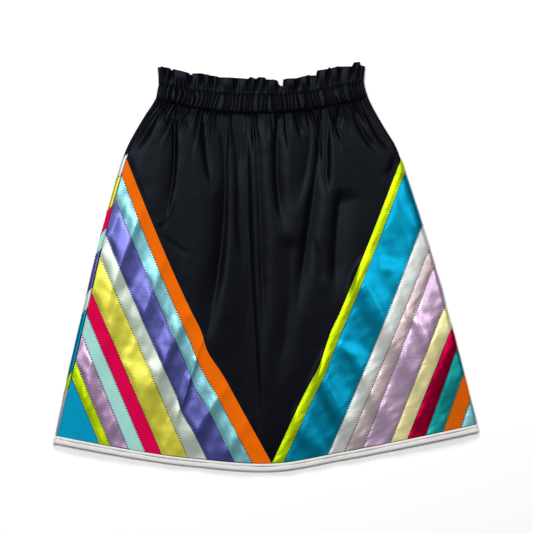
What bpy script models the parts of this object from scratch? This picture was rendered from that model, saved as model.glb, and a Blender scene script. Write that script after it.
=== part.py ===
"""Knee-length ribbon skirt, laid flat on its back.

Two A-line panels of dark taffeta are gathered into an elastic casing with a ruffle above it. Satin
ribbons run down from the side seams to the middle of the hem, front and back, and a satin binding
finishes the hem. In-seam pocket bags lie between the panels.

Frame: +X to the right of the front, +Y from hem to waist, +Z up from the surface that the skirt
lies on, and the origin under the middle of its outline. Every length below is in millimetres, and
becomes metres when an object is made.

Each piece starts as a flat net: x is the way round the skirt, y the way up it, and z the relief of
its gathers and folds. The net is then wrapped round the flattened tube and given its thickness.
"""

import math
from collections import namedtuple

import bmesh
import bpy
from mathutils import Matrix, Vector

METRES = 0.001

# Cloth and seams
PANEL = 1.4
RIBBON = 0.8
GAP = 0.3
SEAM_GAP = 0.46
RIBBON_FACE = GAP + RIBBON
CASING_WALL = 2.6
RUFFLE_WALL = 1.6
BINDING_WALL = 2.4
BINDING_WIDTH = 11.5
BACK_HEM_DROP = 2.0
FRONT_RIBBONS_ROUND = 32.0

# Side folds: the roll is how far the top of a fold bends in from the outline
ROLL = 7.0
UNDER_ROLL = 5.5
FOLD_MIDDLE = 0.45
SHOULDER_DROP = 2.5
SHOULDER_WIDTH = 24.0

# Gathers
FRONT_CASING_GATHERS = 54
BACK_CASING_GATHERS = 34
GATHER_DEPTH = 2.2
GATHER_RUN = 70.0
CASING_CREASE = 1.4
CASING_BULGE = 0.7
BACK_RUFFLE_LOBES = 14
RUFFLE_CREASE = 1.0
BACK_RUFFLE_CREASE = 3.0
CLEAR_OF_BACK = 4.4
CLEAR_OF_BAG = 7.8
BAG_MARGIN = 12.0

# Nets
HEM_COLUMNS = {"front": 16.0, "back": 20.0}
ROLL_COLUMNS = (0.14, 0.28, 0.42, 0.56, 0.7, 0.84, 1.0)
FAN = 0.65
NAVY_ROWS = (0.0, 0.03, 0.08, 0.16, 0.28, 0.43, 0.6, 0.8, 1.0)
WELD_ROW = 6
BACK_ROWS = (0.0, 0.08, 0.2, 0.36, 0.56, 0.76, 0.93, 1.0)
BACK_WELD_ROW = 4

FRONT, BACK = "front", "back"
LEFT, RIGHT = -1, 1

# The skirt's outline, from hem to ruffle, and how far the side seams lie round from it
Outline = namedtuple("Outline", "y left right wrap")
OUTLINE = (
    Outline(y=-312, left=-329.0, right=334.0, wrap=4.0),
    Outline(y=-254, left=-317.0, right=319.3, wrap=4.5),
    Outline(y=-155, left=-296.3, right=294.8, wrap=8.0),
    Outline(y=-65, left=-275.3, right=270.8, wrap=8.7),
    Outline(y=25, left=-254.3, right=245.3, wrap=8.7),
    Outline(y=93, left=-236.3, right=224.3, wrap=8.7),
    Outline(y=160, left=-216.8, right=201.8, wrap=8.7),
    Outline(y=183, left=-207.8, right=192.8, wrap=8.7),
    Outline(y=205, left=-195.8, right=179.3, wrap=8.7),
    Outline(y=228, left=-182.0, right=165.8, wrap=8.7),
    Outline(y=251, left=-167.5, right=154.0, wrap=8.0),
    Outline(y=277, left=-162.5, right=146.5, wrap=8.0),
    Outline(y=310, left=-164.5, right=149.5, wrap=8.0),
)

# Upper edge of the hem binding
Hem = namedtuple("Hem", "x y")
HEM = (
    Hem(x=-345, y=-248.0),
    Hem(x=-205, y=-274.5),
    Hem(x=-118, y=-287.0),
    Hem(x=8, y=-295.3),
    Hem(x=113, y=-278.3),
    Hem(x=205, y=-260.3),
    Hem(x=350, y=-229.0),
)

# Curved edges of the waist, each an arc by its lowest point and radius
Arc = namedtuple("Arc", "x y radius")
CASING_BOTTOM = Arc(x=-12.0, y=228.4, radius=568.0)
CASING_TOP = Arc(x=-15.0, y=256.6, radius=588.0)
RUFFLE_TOP = Arc(x=-12.0, y=284.6, radius=683.0)

# Height of the front's outer face over the floor, by the distance below the casing
Height = namedtuple("Height", "drop middle side")
HEIGHTS = (
    Height(drop=-60, middle=8.8, side=8.8),
    Height(drop=-28, middle=9.7, side=9.7),
    Height(drop=0, middle=10.4, side=10.2),
    Height(drop=40, middle=12.5, side=11.0),
    Height(drop=150, middle=12.0, side=11.0),
    Height(drop=300, middle=10.0, side=10.5),
    Height(drop=450, middle=7.0, side=9.5),
    Height(drop=530, middle=4.4, side=8.8),
)

# Main folds of the front. Each runs through three points and is a trough with a soft slope to
# either side; a side can be sharp where the cloth turns over itself.
Fold = namedtuple("Fold", "top mid end left right depth")
FOLDS = (
    Fold(top=(-160, 247), mid=(-175, 213), end=(-196, 175), left=5, right=5, depth=2.6),
    Fold(top=(-157, 232), mid=(-148, 219), end=(-139, 205), left=4, right=4, depth=2.2),
    Fold(top=(-139, 232), mid=(-139, 153), end=(-155, 58), left=7, right=4, depth=3.4),
    Fold(top=(-94, 234), mid=(-91, 175), end=(-82, 115), left=5, right=10, depth=4.0),
    Fold(top=(-67, 225), mid=(-64, 78), end=(-91, -105), left=9, right=6, depth=4.6),
    Fold(top=(-28, 226), mid=(-25, -5), end=(-13, -260), left=17, right=5, depth=5.6),
    Fold(top=(-8, 223), mid=(-14, 100), end=(-4, -132), left=5, right=6, depth=2.8),
    Fold(top=(25, 225), mid=(16, 130), end=(29, 48), left=5, right=8, depth=4.2),
    Fold(top=(32, 60), mid=(35, -57), end=(17, -162), left=10, right=10, depth=3.2),
    Fold(top=(40, 234), mid=(49, 216), end=(55, 195), left=4, right=4, depth=2.2),
    Fold(top=(67, 231), mid=(62, 160), end=(46, 93), left=10, right=7, depth=3.0),
    Fold(top=(83, 213), mid=(70, 108), end=(46, -60), left=5, right=8, depth=4.0),
    Fold(top=(89, 247), mid=(88, 190), end=(92, 118), left=6, right=5, depth=5.6),
    Fold(top=(110, 100), mid=(104, 40), end=(103, -44), left=6, right=11, depth=3.2),
    Fold(top=(112, 246), mid=(107, 220), end=(98, 193), left=4, right=4, depth=2.4),
    Fold(top=(134, 228), mid=(145, 201), end=(164, 172), left=4, right=4, depth=2.6),
    Fold(top=(145, 249), mid=(163, 214), end=(182, 177), left=5, right=5, depth=3.6),
)

# Lobes of the front ruffle, from left to right: where each ends, its top and how far it stands out
Lobe = namedtuple("Lobe", "right top stand")
RUFFLE_LEFT = -160.0
RUFFLE_LOBES = (
    Lobe(right=-154.0, top=300.5, stand=3.5),
    Lobe(right=-141.0, top=298.0, stand=5.0),
    Lobe(right=-113.0, top=293.6, stand=5.5),
    Lobe(right=-97.0, top=290.0, stand=4.0),
    Lobe(right=-82.0, top=289.0, stand=5.0),
    Lobe(right=-67.0, top=285.6, stand=4.0),
    Lobe(right=-44.5, top=284.0, stand=4.5),
    Lobe(right=-25.0, top=282.6, stand=3.5),
    Lobe(right=-13.0, top=284.6, stand=5.0),
    Lobe(right=1.0, top=284.6, stand=4.5),
    Lobe(right=18.0, top=279.4, stand=5.0),
    Lobe(right=25.5, top=271.5, stand=-1.6),
    Lobe(right=47.0, top=282.6, stand=5.5),
    Lobe(right=66.0, top=286.6, stand=4.5),
    Lobe(right=76.0, top=286.5, stand=-1.6),
    Lobe(right=92.0, top=296.6, stand=5.5),
    Lobe(right=111.5, top=300.6, stand=5.0),
    Lobe(right=128.5, top=301.6, stand=3.5),
    Lobe(right=140.5, top=306.6, stand=5.5),
    Lobe(right=162.0, top=302.6, stand=3.5),
)

# Ribbons from the middle outwards. Each ends where its lower edge meets the side of the skirt
# (side_y) and the hem (hem_x); bow is how far that edge bends outwards half way.
Ribbon = namedtuple("Ribbon", "name colour side_y hem_x bow")
Chevron = namedtuple("Chevron", "side_y hem_x bow ribbons")
TIP_X = 8.0
CHEVRONS = {
    (FRONT, LEFT): Chevron(side_y=161, hem_x=TIP_X, bow=12, ribbons=(
        Ribbon("orange", "orange", side_y=136.6, hem_x=-20.7, bow=10),
        Ribbon("aqua", "aqua", side_y=99.8, hem_x=-48.0, bow=6),
        Ribbon("periwinkle", "periwinkle", side_y=47.0, hem_x=-88.8, bow=3),
        Ribbon("silver", "silver", side_y=12.5, hem_x=-117.9, bow=0),
        Ribbon("gold", "gold", side_y=-37.9, hem_x=-156.6, bow=0),
        Ribbon("crimson", "crimson", side_y=-71.2, hem_x=-182.0, bow=0),
        Ribbon("mint", "mint", side_y=-102.0, hem_x=-206.6, bow=0),
        Ribbon("lilac", "lilac", side_y=-142.1, hem_x=-233.9, bow=0),
        Ribbon("lime", "lime", side_y=-165.8, hem_x=-250.2, bow=0),
        Ribbon("blue", "blue", side_y=None, hem_x=None, bow=0),
    )),
    (FRONT, RIGHT): Chevron(side_y=163.4, hem_x=TIP_X, bow=6, ribbons=(
        Ribbon("lime", "lime", side_y=145.9, hem_x=25.2, bow=6),
        Ribbon("blue", "blue", side_y=66.7, hem_x=92.1, bow=3),
        Ribbon("silver", "silver", side_y=31.3, hem_x=117.3, bow=1),
        Ribbon("pink", "pink", side_y=5.6, hem_x=144.2, bow=0),
        Ribbon("lilac", "lilac", side_y=-52.9, hem_x=185.7, bow=0),
        Ribbon("straw", "straw", side_y=-88.3, hem_x=211.1, bow=0),
        Ribbon("crimson", "crimson", side_y=-118.7, hem_x=239.1, bow=0),
        Ribbon("teal", "teal", side_y=-156.7, hem_x=264.9, bow=0),
        Ribbon("orange", "orange", side_y=-196.3, hem_x=291.6, bow=0),
        Ribbon("aqua", "aqua", side_y=None, hem_x=None, bow=0),
    )),
    (BACK, LEFT): Chevron(side_y=167.2, hem_x=TIP_X, bow=0, ribbons=(
        Ribbon("cream", "silver", side_y=136.1, hem_x=-19.6, bow=0),
        Ribbon("gold", "gold", side_y=88.9, hem_x=-60.6, bow=0),
        Ribbon("crimson", "crimson", side_y=55.9, hem_x=-87.0, bow=0),
        Ribbon("mint", "mint", side_y=25.1, hem_x=-113.4, bow=0),
        Ribbon("periwinkle", "periwinkle", side_y=-30.4, hem_x=-156.6, bow=0),
        Ribbon("silver", "silver", side_y=-61.9, hem_x=-183.0, bow=0),
        Ribbon("blue", "blue", side_y=-156.4, hem_x=-251.4, bow=0),
        Ribbon("lime", "lime", side_y=-180.4, hem_x=-266.6, bow=0),
        Ribbon("pink", "pink", side_y=None, hem_x=None, bow=0),
    )),
    (BACK, RIGHT): Chevron(side_y=163.0, hem_x=TIP_X, bow=0, ribbons=(
        Ribbon("teal", "teal", side_y=131.0, hem_x=34.0, bow=0),
        Ribbon("lilac", "lilac", side_y=84.0, hem_x=75.0, bow=0),
        Ribbon("orange", "orange", side_y=52.0, hem_x=101.0, bow=0),
        Ribbon("straw", "straw", side_y=21.0, hem_x=127.0, bow=0),
        Ribbon("aqua", "aqua", side_y=-34.0, hem_x=170.0, bow=0),
        Ribbon("crimson", "crimson", side_y=-66.0, hem_x=197.0, bow=0),
        Ribbon("blue", "blue", side_y=-160.0, hem_x=265.0, bow=0),
        Ribbon("lime", "lime", side_y=-184.0, hem_x=280.0, bow=0),
        Ribbon("silver", "silver", side_y=None, hem_x=None, bow=0),
    )),
}
SIDE_NAMES = {LEFT: "left", RIGHT: "right"}

# In-seam pocket bags: two plies of taffeta that press through the front as a low step
Bag = namedtuple("Bag", "side inner bottom corner")
BAGS = (
    Bag(side=LEFT, inner=-140.0, bottom=60.0, corner=34.0),
    Bag(side=RIGHT, inner=90.0, bottom=104.0, corner=30.0),
)
BAG_LOW, BAG_HIGH = 4.2, 6.0
BAG_TOP = 226.0
BAG_SIDE_INSET = 12.0
BAG_STEP = 1.5
BAG_STEP_WIDTH = 9.0
BAG_CORNER_POINTS = 6
BAG_SIDE_POINTS = 5

Finish = namedtuple("Finish", "colour roughness")
FINISHES = {
    "taffeta": Finish((0.010, 0.011, 0.016), 0.55),
    "orange": Finish((0.83, 0.13, 0.0), 0.45),
    "aqua": Finish((0.22, 0.50, 0.54), 0.3),
    "periwinkle": Finish((0.16, 0.15, 0.53), 0.3),
    "silver": Finish((0.62, 0.65, 0.60), 0.3),
    "gold": Finish((0.70, 0.68, 0.10), 0.3),
    "crimson": Finish((0.55, 0.0, 0.055), 0.4),
    "mint": Finish((0.28, 0.58, 0.52), 0.4),
    "lilac": Finish((0.42, 0.27, 0.46), 0.3),
    "lime": Finish((0.60, 0.85, 0.01), 0.35),
    "blue": Finish((0.0, 0.33, 0.50), 0.3),
    "pink": Finish((0.72, 0.58, 0.60), 0.3),
    "straw": Finish((0.72, 0.68, 0.33), 0.3),
    "teal": Finish((0.0, 0.34, 0.30), 0.3),
    "binding": Finish((0.66, 0.66, 0.64), 0.35),
}


def read(rows, column, at):
    """A table's column read at a place of its first column, on a smooth curve through its rows."""
    keys = [row[0] for row in rows]
    values = [getattr(row, column) for row in rows]
    at = min(max(at, keys[0]), keys[-1])
    i = max(n for n in range(len(rows) - 1) if keys[n] <= at)

    def slope(n):
        low, high = max(n - 1, 0), min(n + 1, len(rows) - 1)
        return (values[high] - values[low]) / (keys[high] - keys[low])

    span = keys[i + 1] - keys[i]
    t = (at - keys[i]) / span
    rise = t * t * (3 - 2 * t)
    ease_out = t * (1 - t) ** 2 * span
    ease_in = t * t * (t - 1) * span
    return values[i] * (1 - rise) + values[i + 1] * rise + slope(i) * ease_out + slope(i + 1) * ease_in


def smooth(t):
    t = min(max(t, 0.0), 1.0)
    return t * t * (3 - 2 * t)


def arc_y(arc, x):
    return arc.y + arc.radius - math.sqrt(arc.radius ** 2 - (x - arc.x) ** 2)


def hem_y(x):
    return read(HEM, "y", x)


def over(level, face, across, y):
    """How far a point of a face's net lies over a level line."""
    return y - level(wrap(face, across, y, 0).x)


def solve(function, low, high):
    """Where a function of one value crosses zero between two places, by halving."""
    low_sign = function(low) > 0
    for _ in range(40):
        middle = (low + high) / 2
        if (function(middle) > 0) == low_sign:
            low = middle
        else:
            high = middle
    return (low + high) / 2


def quarter(across, up):
    """Length of a quarter of an ellipse."""
    return math.pi / 2 * math.hypot(across, up) / math.sqrt(2)


def front_height(x, y):
    """Height of the front's outer face before its folds."""
    drop = arc_y(CASING_BOTTOM, x) - y
    left, right = read(OUTLINE, "left", y), read(OUTLINE, "right", y)
    out = min(abs(2 * x - left - right) / (right - left), 1.0)
    middle, side = read(HEIGHTS, "middle", drop), read(HEIGHTS, "side", drop)
    height = middle + (side - middle) * out ** 2
    to_edge = min(x - left, right - x) - ROLL
    return height - SHOULDER_DROP * (1 - smooth(to_edge / SHOULDER_WIDTH)) * smooth(drop / 40)


def back_height(x, y):
    """Height of the back's outer face: on the floor, and lifted by a ribbon's thickness below the
    chevron. On the right that starts higher, because the front's ribbons come round there."""
    side = LEFT if x < TIP_X else RIGHT
    top = CHEVRONS[BACK, side].side_y + (FRONT_RIBBONS_ROUND if side == RIGHT else 0)
    outline = read(OUTLINE, "left" if side == LEFT else "right", top)
    up = (y - hem_y(TIP_X)) / (top - hem_y(TIP_X))
    above = (x - TIP_X - (outline - TIP_X) * up) * -side
    clear = smooth((above - 1) / 6)
    at_casing = smooth((arc_y(CASING_BOTTOM, x) - y) / 4)
    return RIBBON_FACE * (1 - clear) * at_casing


def fold_at_edge(edge, y, into):
    """Point and outward direction on the tube, `into` millimetres in from its outline: over the
    top if that is positive and underneath if it is negative."""
    outline = read(OUTLINE, "left" if edge == LEFT else "right", y)
    roll, under = ROLL, UNDER_ROLL
    top = front_height(outline - edge * roll, y)
    floor = back_height(outline - edge * under, y)
    middle = floor + FOLD_MIDDLE * (top - floor)
    across, up = (roll, top - middle) if into >= 0 else (under, floor - middle)
    length = quarter(across, abs(up))
    if abs(into) >= length:
        x = outline - edge * (across + abs(into) - length)
        height = front_height(x, y) if into >= 0 else back_height(x, y)
        return Vector((x, y, height)), Vector((0, 0, 1 if into >= 0 else -1))
    turn = (1 - abs(into) / length) * math.pi / 2
    point = Vector((outline - edge * across * (1 - math.sin(turn)), y, middle + up * math.cos(turn)))
    out = Vector((edge * math.sin(turn) / across, 0, math.cos(turn) / up))
    return point, out.normalized()


def flat_reach(face, edge, y):
    """Where the flat part of a face ends at a side, and the length of the roll beyond it."""
    outline = read(OUTLINE, "left" if edge == LEFT else "right", y)
    top = front_height(outline - edge * ROLL, y)
    floor = back_height(outline - edge * UNDER_ROLL, y)
    middle = floor + FOLD_MIDDLE * (top - floor)
    if face == FRONT:
        return outline - edge * ROLL, quarter(ROLL, top - middle)
    return outline - edge * UNDER_ROLL, quarter(UNDER_ROLL, middle - floor)


def wrap(face, across, y, lift):
    """The place of a net's point on the tube, lifted out from it."""
    edge = LEFT if across < TIP_X else RIGHT
    reach, roll = flat_reach(face, edge, y)
    into = roll + (reach - across) * edge
    point, out = fold_at_edge(edge, y, into if face == FRONT else -into)
    return point + out * lift


def outline_across(face, edge, y):
    """The outline as a distance across a face's net."""
    reach, roll = flat_reach(face, edge, y)
    return reach + edge * roll


def seam_across(face, edge, y):
    """A side seam as a distance across a face's net. The tube is turned, so the left seam lies on
    top and the right one underneath."""
    turned = read(OUTLINE, "wrap", y)
    inwards = turned if (face == FRONT) == (edge == LEFT) else -turned
    return outline_across(face, edge, y) - edge * (inwards + SEAM_GAP / 2)


def inside_fold(face, across, y):
    """1 on the flat part of a face, falling to 0 at the outline."""
    edge = LEFT if across < TIP_X else RIGHT
    reach, roll = flat_reach(face, edge, y)
    return smooth(((reach - across) * edge + roll) / (roll + 5))


def goes_round(face, edge):
    """Whether a face's cloth goes round the fold at a side before it meets its seam."""
    return (face == FRONT) == (edge == RIGHT)


def centre_x(y):
    """The line down the middle of the skirt, from the casing to the chevron's tip."""
    down = (CASING_BOTTOM.y - y) / (CASING_BOTTOM.y - hem_y(TIP_X))
    return CASING_BOTTOM.x + 5 + (TIP_X - CASING_BOTTOM.x - 5) * down


def column_x(face, station, y):
    """Where a column of the net runs at a height. A station up to 1 is its share of the way to the
    side's fold or seam at the hem, and columns near the middle fan out less than those at the
    sides. From 1 to 2 it goes from the start of the fold to the seam."""
    edge = LEFT if station < 0 else RIGHT
    down = (CASING_BOTTOM.y - y) / (CASING_BOTTOM.y - hem_y(TIP_X))
    down = min(max(down, 0.0), 1.0)
    share = min(abs(station), 1.0)
    share = (1 - down) * share ** FAN + down * share
    middle, seam = centre_x(y), seam_across(face, edge, y)
    reach = flat_reach(face, edge, y)[0] if goes_round(face, edge) else seam
    around = max(abs(station) - 1, 0.0) * (seam - reach)
    return middle + (reach - middle) * share + around


def chevron_x(face, side, number, y):
    """Where the lower edge of a ribbon runs at a height. Number -1 is the chevron's own edge."""
    chevron = CHEVRONS[face, side]
    edge = chevron if number < 0 else chevron.ribbons[number]
    if edge.side_y is None:
        return side * 1000.0
    starts_at = seam_across if side == LEFT else outline_across
    start = starts_at(face, side, edge.side_y)
    foot = hem_y(edge.hem_x)
    up = (y - foot) / (edge.side_y - foot)
    bow = edge.bow * math.sin(math.pi * min(max(up, 0.0), 1.0))
    return edge.hem_x + (start - edge.hem_x) * up + side * bow


def bag_reach(bag, x, y):
    """How far inside a pocket bag's edge a point lies."""
    inside_x = (x - bag.inner) * bag.side
    inside_y = y - bag.bottom
    corner_x, corner_y = bag.corner - inside_x, bag.corner - inside_y
    if corner_x > 0 and corner_y > 0:
        return bag.corner - math.hypot(corner_x, corner_y)
    return min(inside_x, inside_y)


def fold_x(fold, y):
    """A fold's line at a height, on the curve through its three points."""
    (x0, y0), (x1, y1), (x2, y2) = fold.top, fold.mid, fold.end
    return (
        x0 * (y - y1) * (y - y2) / ((y0 - y1) * (y0 - y2))
        + x1 * (y - y0) * (y - y2) / ((y1 - y0) * (y1 - y2))
        + x2 * (y - y0) * (y - y1) / ((y2 - y0) * (y2 - y1))
    )


def front_relief(x, y):
    """Depth of the front's folds and of the pocket bags that press through it."""
    if x < read(OUTLINE, "left", y) or x > read(OUTLINE, "right", y):
        return 0.0
    relief = 0.0
    for fold in FOLDS:
        top, end = fold.top[1], fold.end[1]
        if not end < y < top + 30:
            continue
        length = top - end
        fade = smooth((y - end) / (0.4 * length)) * smooth((top + 30 - y) / 30)
        away = x - fold_x(fold, y)
        width = fold.left if away < 0 else fold.right
        relief -= fold.depth * fade * math.exp(-((away / width) ** 2))
    for bag in BAGS:
        relief += BAG_STEP * smooth(bag_reach(bag, x, y) / BAG_STEP_WIDTH)
    return relief


def gather_crease(number, drop):
    """Depth of a panel's gathers. They run down unequally, as hand-pulled gathers do."""
    run = GATHER_RUN * (0.8 + 0.5 * math.sin(2.4 * number))
    return GATHER_DEPTH * (1 - smooth(drop / run))


def lowest_front(x, y):
    """The front's lowest height: clear of the back, its gathers and the pocket bags."""
    drop = arc_y(CASING_BOTTOM, x) - y
    lowest = CLEAR_OF_BACK + 0.5 * GATHER_DEPTH * (1 - smooth(drop / (1.5 * GATHER_RUN)))
    for bag in BAGS:
        over_bag = smooth((bag_reach(bag, x, y) + 2 * BAG_MARGIN) / BAG_MARGIN)
        lowest = max(lowest, CLEAR_OF_BACK + (CLEAR_OF_BAG - CLEAR_OF_BACK) * over_bag)
    return lowest


def net(columns, rows):
    """A flat grid of columns by rows, and its vertices as [row][column]."""
    bm = bmesh.new()
    bmesh.ops.create_grid(bm, x_segments=columns - 1, y_segments=rows - 1, size=1)
    bm.verts.ensure_lookup_table()
    bm.faces.ensure_lookup_table()
    grid = [[bm.verts[row * columns + column] for column in range(columns)] for row in range(rows)]
    return bm, grid


def hem_stations(face):
    """The net's columns from left to right. One passes through the foot of every ribbon edge, and
    a side where the face goes round the fold has more columns there."""
    stations = [0.0]
    for side in (LEFT, RIGHT):
        edges = CHEVRONS[face, side].ribbons[:-1]
        feet = [TIP_X] + [edge.hem_x for edge in edges] + [column_x(face, side * 1.0, hem_y(side * 317.0))]
        shares = [station_through(face, side, foot) for foot in feet[1:-1]] + [1.0]
        start = 0.0
        for number, share in enumerate(shares):
            steps = max(1, round(abs(feet[number + 1] - feet[number]) / HEM_COLUMNS[face]))
            stations += [side * (start + (share - start) * (n + 1) / steps) for n in range(steps)]
            start = share
        if goes_round(face, side):
            stations += [side * (1 + share) for share in ROLL_COLUMNS]
    return sorted(stations)


def station_through(face, side, foot):
    """The station of the column that meets the hem at a given place."""
    level = hem_y(foot)
    return solve(lambda s: (column_x(face, side * s, level) - foot) * side, 1e-6, 1.0)


def hem_at(face, station):
    """Height of the binding's upper edge on a column."""
    return solve(lambda y: over(hem_y, face, column_x(face, station, y), y), -330, 0)


def column_rows(face, station, shares):
    """Heights of the net's rows on one column: down to the chevron, at each ribbon edge, at the hem."""
    side = LEFT if station < 0 else RIGHT
    hem = hem_at(face, station)

    def under_casing(y):
        return over(lambda x: arc_y(CASING_BOTTOM, x), face, column_x(face, station, y), y) + GAP / 2

    casing = solve(under_casing, 100, 300)
    edges = []
    for number in range(-1, len(CHEVRONS[face, side].ribbons) - 1):
        def past(y, number=number):
            return (column_x(face, station, y) - chevron_x(face, side, number, y)) * -side
        edges.append(hem if past(hem) > -0.05 else solve(past, hem, casing))
    chevron = edges[0]
    return [casing + (chevron - casing) * share for share in shares] + edges[1:] + [hem]


def panel_net(face, shares, weld_row):
    """One panel's net, with every face's material index 0, or 1 and up for the ribbon on it. Every
    other column is a gather's crease, which ends part way down the panel."""
    stations = hem_stations(face)
    columns = [(stations[0], False)]
    for a, b in zip(stations, stations[1:]):
        if abs(a) <= 1 and abs(b) <= 1:
            columns.append(((a + b) / 2, True))
        columns.append((b, False))
    rows = len(shares) + len(CHEVRONS[face, LEFT].ribbons)
    bm, grid = net(len(columns), rows)
    for number, (station, crease) in enumerate(columns):
        for row, y in enumerate(column_rows(face, station, shares)):
            x = column_x(face, station, y)
            drop = arc_y(CASING_BOTTOM, x) - y
            relief = -gather_crease(number, drop) if crease else 0.0
            if face == FRONT:
                relief = max(relief + front_relief(x, y), lowest_front(x, y) - front_height(x, y))
                relief *= inside_fold(face, x, y)
            grid[row][number].co = (x, y, relief)
    for number, face_of_net in enumerate(bm.faces):
        row = number // (len(columns) - 1)
        face_of_net.material_index = max(0, row - len(shares) + 2)
    welds = {
        grid[row][number]: grid[row][number - 1]
        for row in range(weld_row, rows)
        for number, (station, crease) in enumerate(columns)
        if crease
    }
    bmesh.ops.weld_verts(bm, targetmap=welds)
    bmesh.ops.remove_doubles(bm, verts=bm.verts[:], dist=0.02)
    bmesh.ops.dissolve_degenerate(bm, edges=bm.edges[:], dist=0.02)
    bmesh.ops.triangulate(bm, faces=bm.faces[:])
    return bm


def pull_in_border(bm, distance):
    """Moves a net's border inwards across the net, so that neighbours keep a gap."""
    moves = {}
    for edge in (e for e in bm.edges if e.is_boundary):
        face = edge.link_faces[0]
        a, b = edge.verts
        along = (b.co - a.co).to_2d().normalized()
        inwards = Vector((-along.y, along.x))
        middle = face.calc_center_median().to_2d() - a.co.to_2d()
        if middle.dot(inwards) < 0:
            inwards.negate()
        for vert in edge.verts:
            moves.setdefault(vert, []).append(inwards)
    for vert, ways in moves.items():
        total = sum(ways, Vector((0, 0)))
        step = total * distance * len(ways) / max(total.length_squared, 0.2)
        vert.co.x += step.x
        vert.co.y += step.y


def finish_of(name):
    """The named finish as a material, made once."""
    material = bpy.data.materials.get(name)
    if material:
        return material
    material = bpy.data.materials.new(name)
    material.use_nodes = True
    shader = material.node_tree.nodes["Principled BSDF"]
    shader.inputs["Base Color"].default_value = (*FINISHES[name].colour, 1)
    shader.inputs["Roughness"].default_value = FINISHES[name].roughness
    return material


def add_object(name, bm, finish, skirt):
    """The bmesh as a named object of the skirt, in metres."""
    bmesh.ops.scale(bm, vec=(METRES,) * 3, verts=bm.verts[:])
    bmesh.ops.recalc_face_normals(bm, faces=bm.faces[:])
    mesh = bpy.data.meshes.new(name)
    bm.to_mesh(mesh)
    bm.free()
    mesh.materials.append(finish_of(finish))
    mesh.shade_smooth()
    mesh.set_sharp_from_angle(angle=math.radians(50))
    obj = bpy.data.objects.new(name, mesh)
    bpy.context.scene.collection.objects.link(obj)
    obj.parent = skirt
    return obj


def add_wall(name, flat, face, inner, outer, finish, skirt):
    """A closed wall from a net: its faces lie `inner` and `outer` beyond the tube's surface."""
    bm = flat.copy()
    for net_face in bm.faces:
        net_face.material_index = 0
    skin = bmesh.ops.extrude_face_region(bm, geom=bm.faces[:])["geom"]
    outside = {v for v in skin if isinstance(v, bmesh.types.BMVert)}
    for vert in bm.verts:
        x, y, relief = vert.co
        vert.co = wrap(face, x, y, relief + (outer if vert in outside else inner))
    return add_object(name, bm, finish, skirt)


def add_panel(face, shares, weld_row, skirt):
    """A panel and the ribbons sewn on it, made from the panel's own points."""
    flat = panel_net(face, shares, weld_row)
    add_wall(f"{face}_panel", flat, face, -PANEL, 0, "taffeta", skirt)
    for side in (LEFT, RIGHT):
        for number, ribbon in enumerate(CHEVRONS[face, side].ribbons):
            strip = flat.copy()
            others = [
                f for f in strip.faces
                if f.material_index != number + 1
                or (f.calc_center_median().x - centre_x(f.calc_center_median().y)) * side < 0
            ]
            bmesh.ops.delete(strip, geom=others, context="FACES")
            pull_in_border(strip, SEAM_GAP / 2)
            name = f"{face}_{SIDE_NAMES[side]}_ribbon_{number + 1}_{ribbon.name}"
            add_wall(name, strip, face, GAP, RIBBON_FACE, ribbon.colour, skirt)
            strip.free()
    flat.free()


def add_binding(face, skirt):
    """The folded satin tape round the raw hem edge, as thick as its two plies and the cloth between."""
    stations = hem_stations(face)
    bm, grid = net(len(stations), 2)
    width = BINDING_WIDTH + (BACK_HEM_DROP if face == BACK else 0)
    for number, station in enumerate(stations):
        hem = hem_at(face, station)
        for row, y in enumerate((hem - GAP / 2, hem - width)):
            x = column_x(face, station, y)
            grid[row][number].co = (x, y, 0)
    bmesh.ops.triangulate(bm, faces=bm.faces[:])
    add_wall(f"{face}_hem_binding", bm, face, RIBBON_FACE - BINDING_WALL, RIBBON_FACE, "binding", skirt)
    bm.free()


def casing_columns(gathers, per_gather):
    """Shares of the way across the casing, uneven like gathers on elastic, and whether each is a crease."""
    columns = []
    for gather in range(gathers):
        shift = 0.22 * math.sin(2.1 * gather) * (gather > 0)
        columns.append((gather + shift, True))
        columns += [(gather + 0.25 + 0.7 * n / per_gather, False) for n in range(1, per_gather)]
    columns.append((gathers, True))
    return [(place / gathers, crease) for place, crease in columns]


def waist_x(face, share, y):
    """A place between the side seams at a height, by its share of the way across."""
    left, right = seam_across(face, LEFT, y), seam_across(face, RIGHT, y)
    return left + (right - left) * share


def arc_height(face, arc, share):
    """Where an arc of the waist crosses the line at a share of the way across."""
    return solve(lambda y: over(lambda x: arc_y(arc, x), face, waist_x(face, share, y), y), 150, 330)


def add_casing(face, gathers, per_gather, rows, skirt):
    """The elastic casing, drawn up in narrow gathers between its two stitched edges."""
    columns = casing_columns(gathers, per_gather)
    bm, grid = net(len(columns), rows)
    depth = CASING_CREASE if face == FRONT else CASING_CREASE * 0.75
    bulge = CASING_BULGE if face == FRONT else 0
    for number, (share, crease) in enumerate(columns):
        low = arc_height(face, CASING_BOTTOM, share) + GAP / 2
        high = arc_height(face, CASING_TOP, share) - GAP / 2
        for row in range(rows):
            up = row / (rows - 1)
            y = low + (high - low) * up
            x = waist_x(face, share, y)
            relief = bulge * math.sin(math.pi * up) * inside_fold(face, x, y) - (depth if crease else 0)
            grid[row][number].co = (x, y, relief)
    bmesh.ops.triangulate(bm, faces=bm.faces[:])
    add_wall(f"{face}_casing", bm, face, -CASING_WALL, 0, "taffeta", skirt)
    bm.free()


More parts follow.
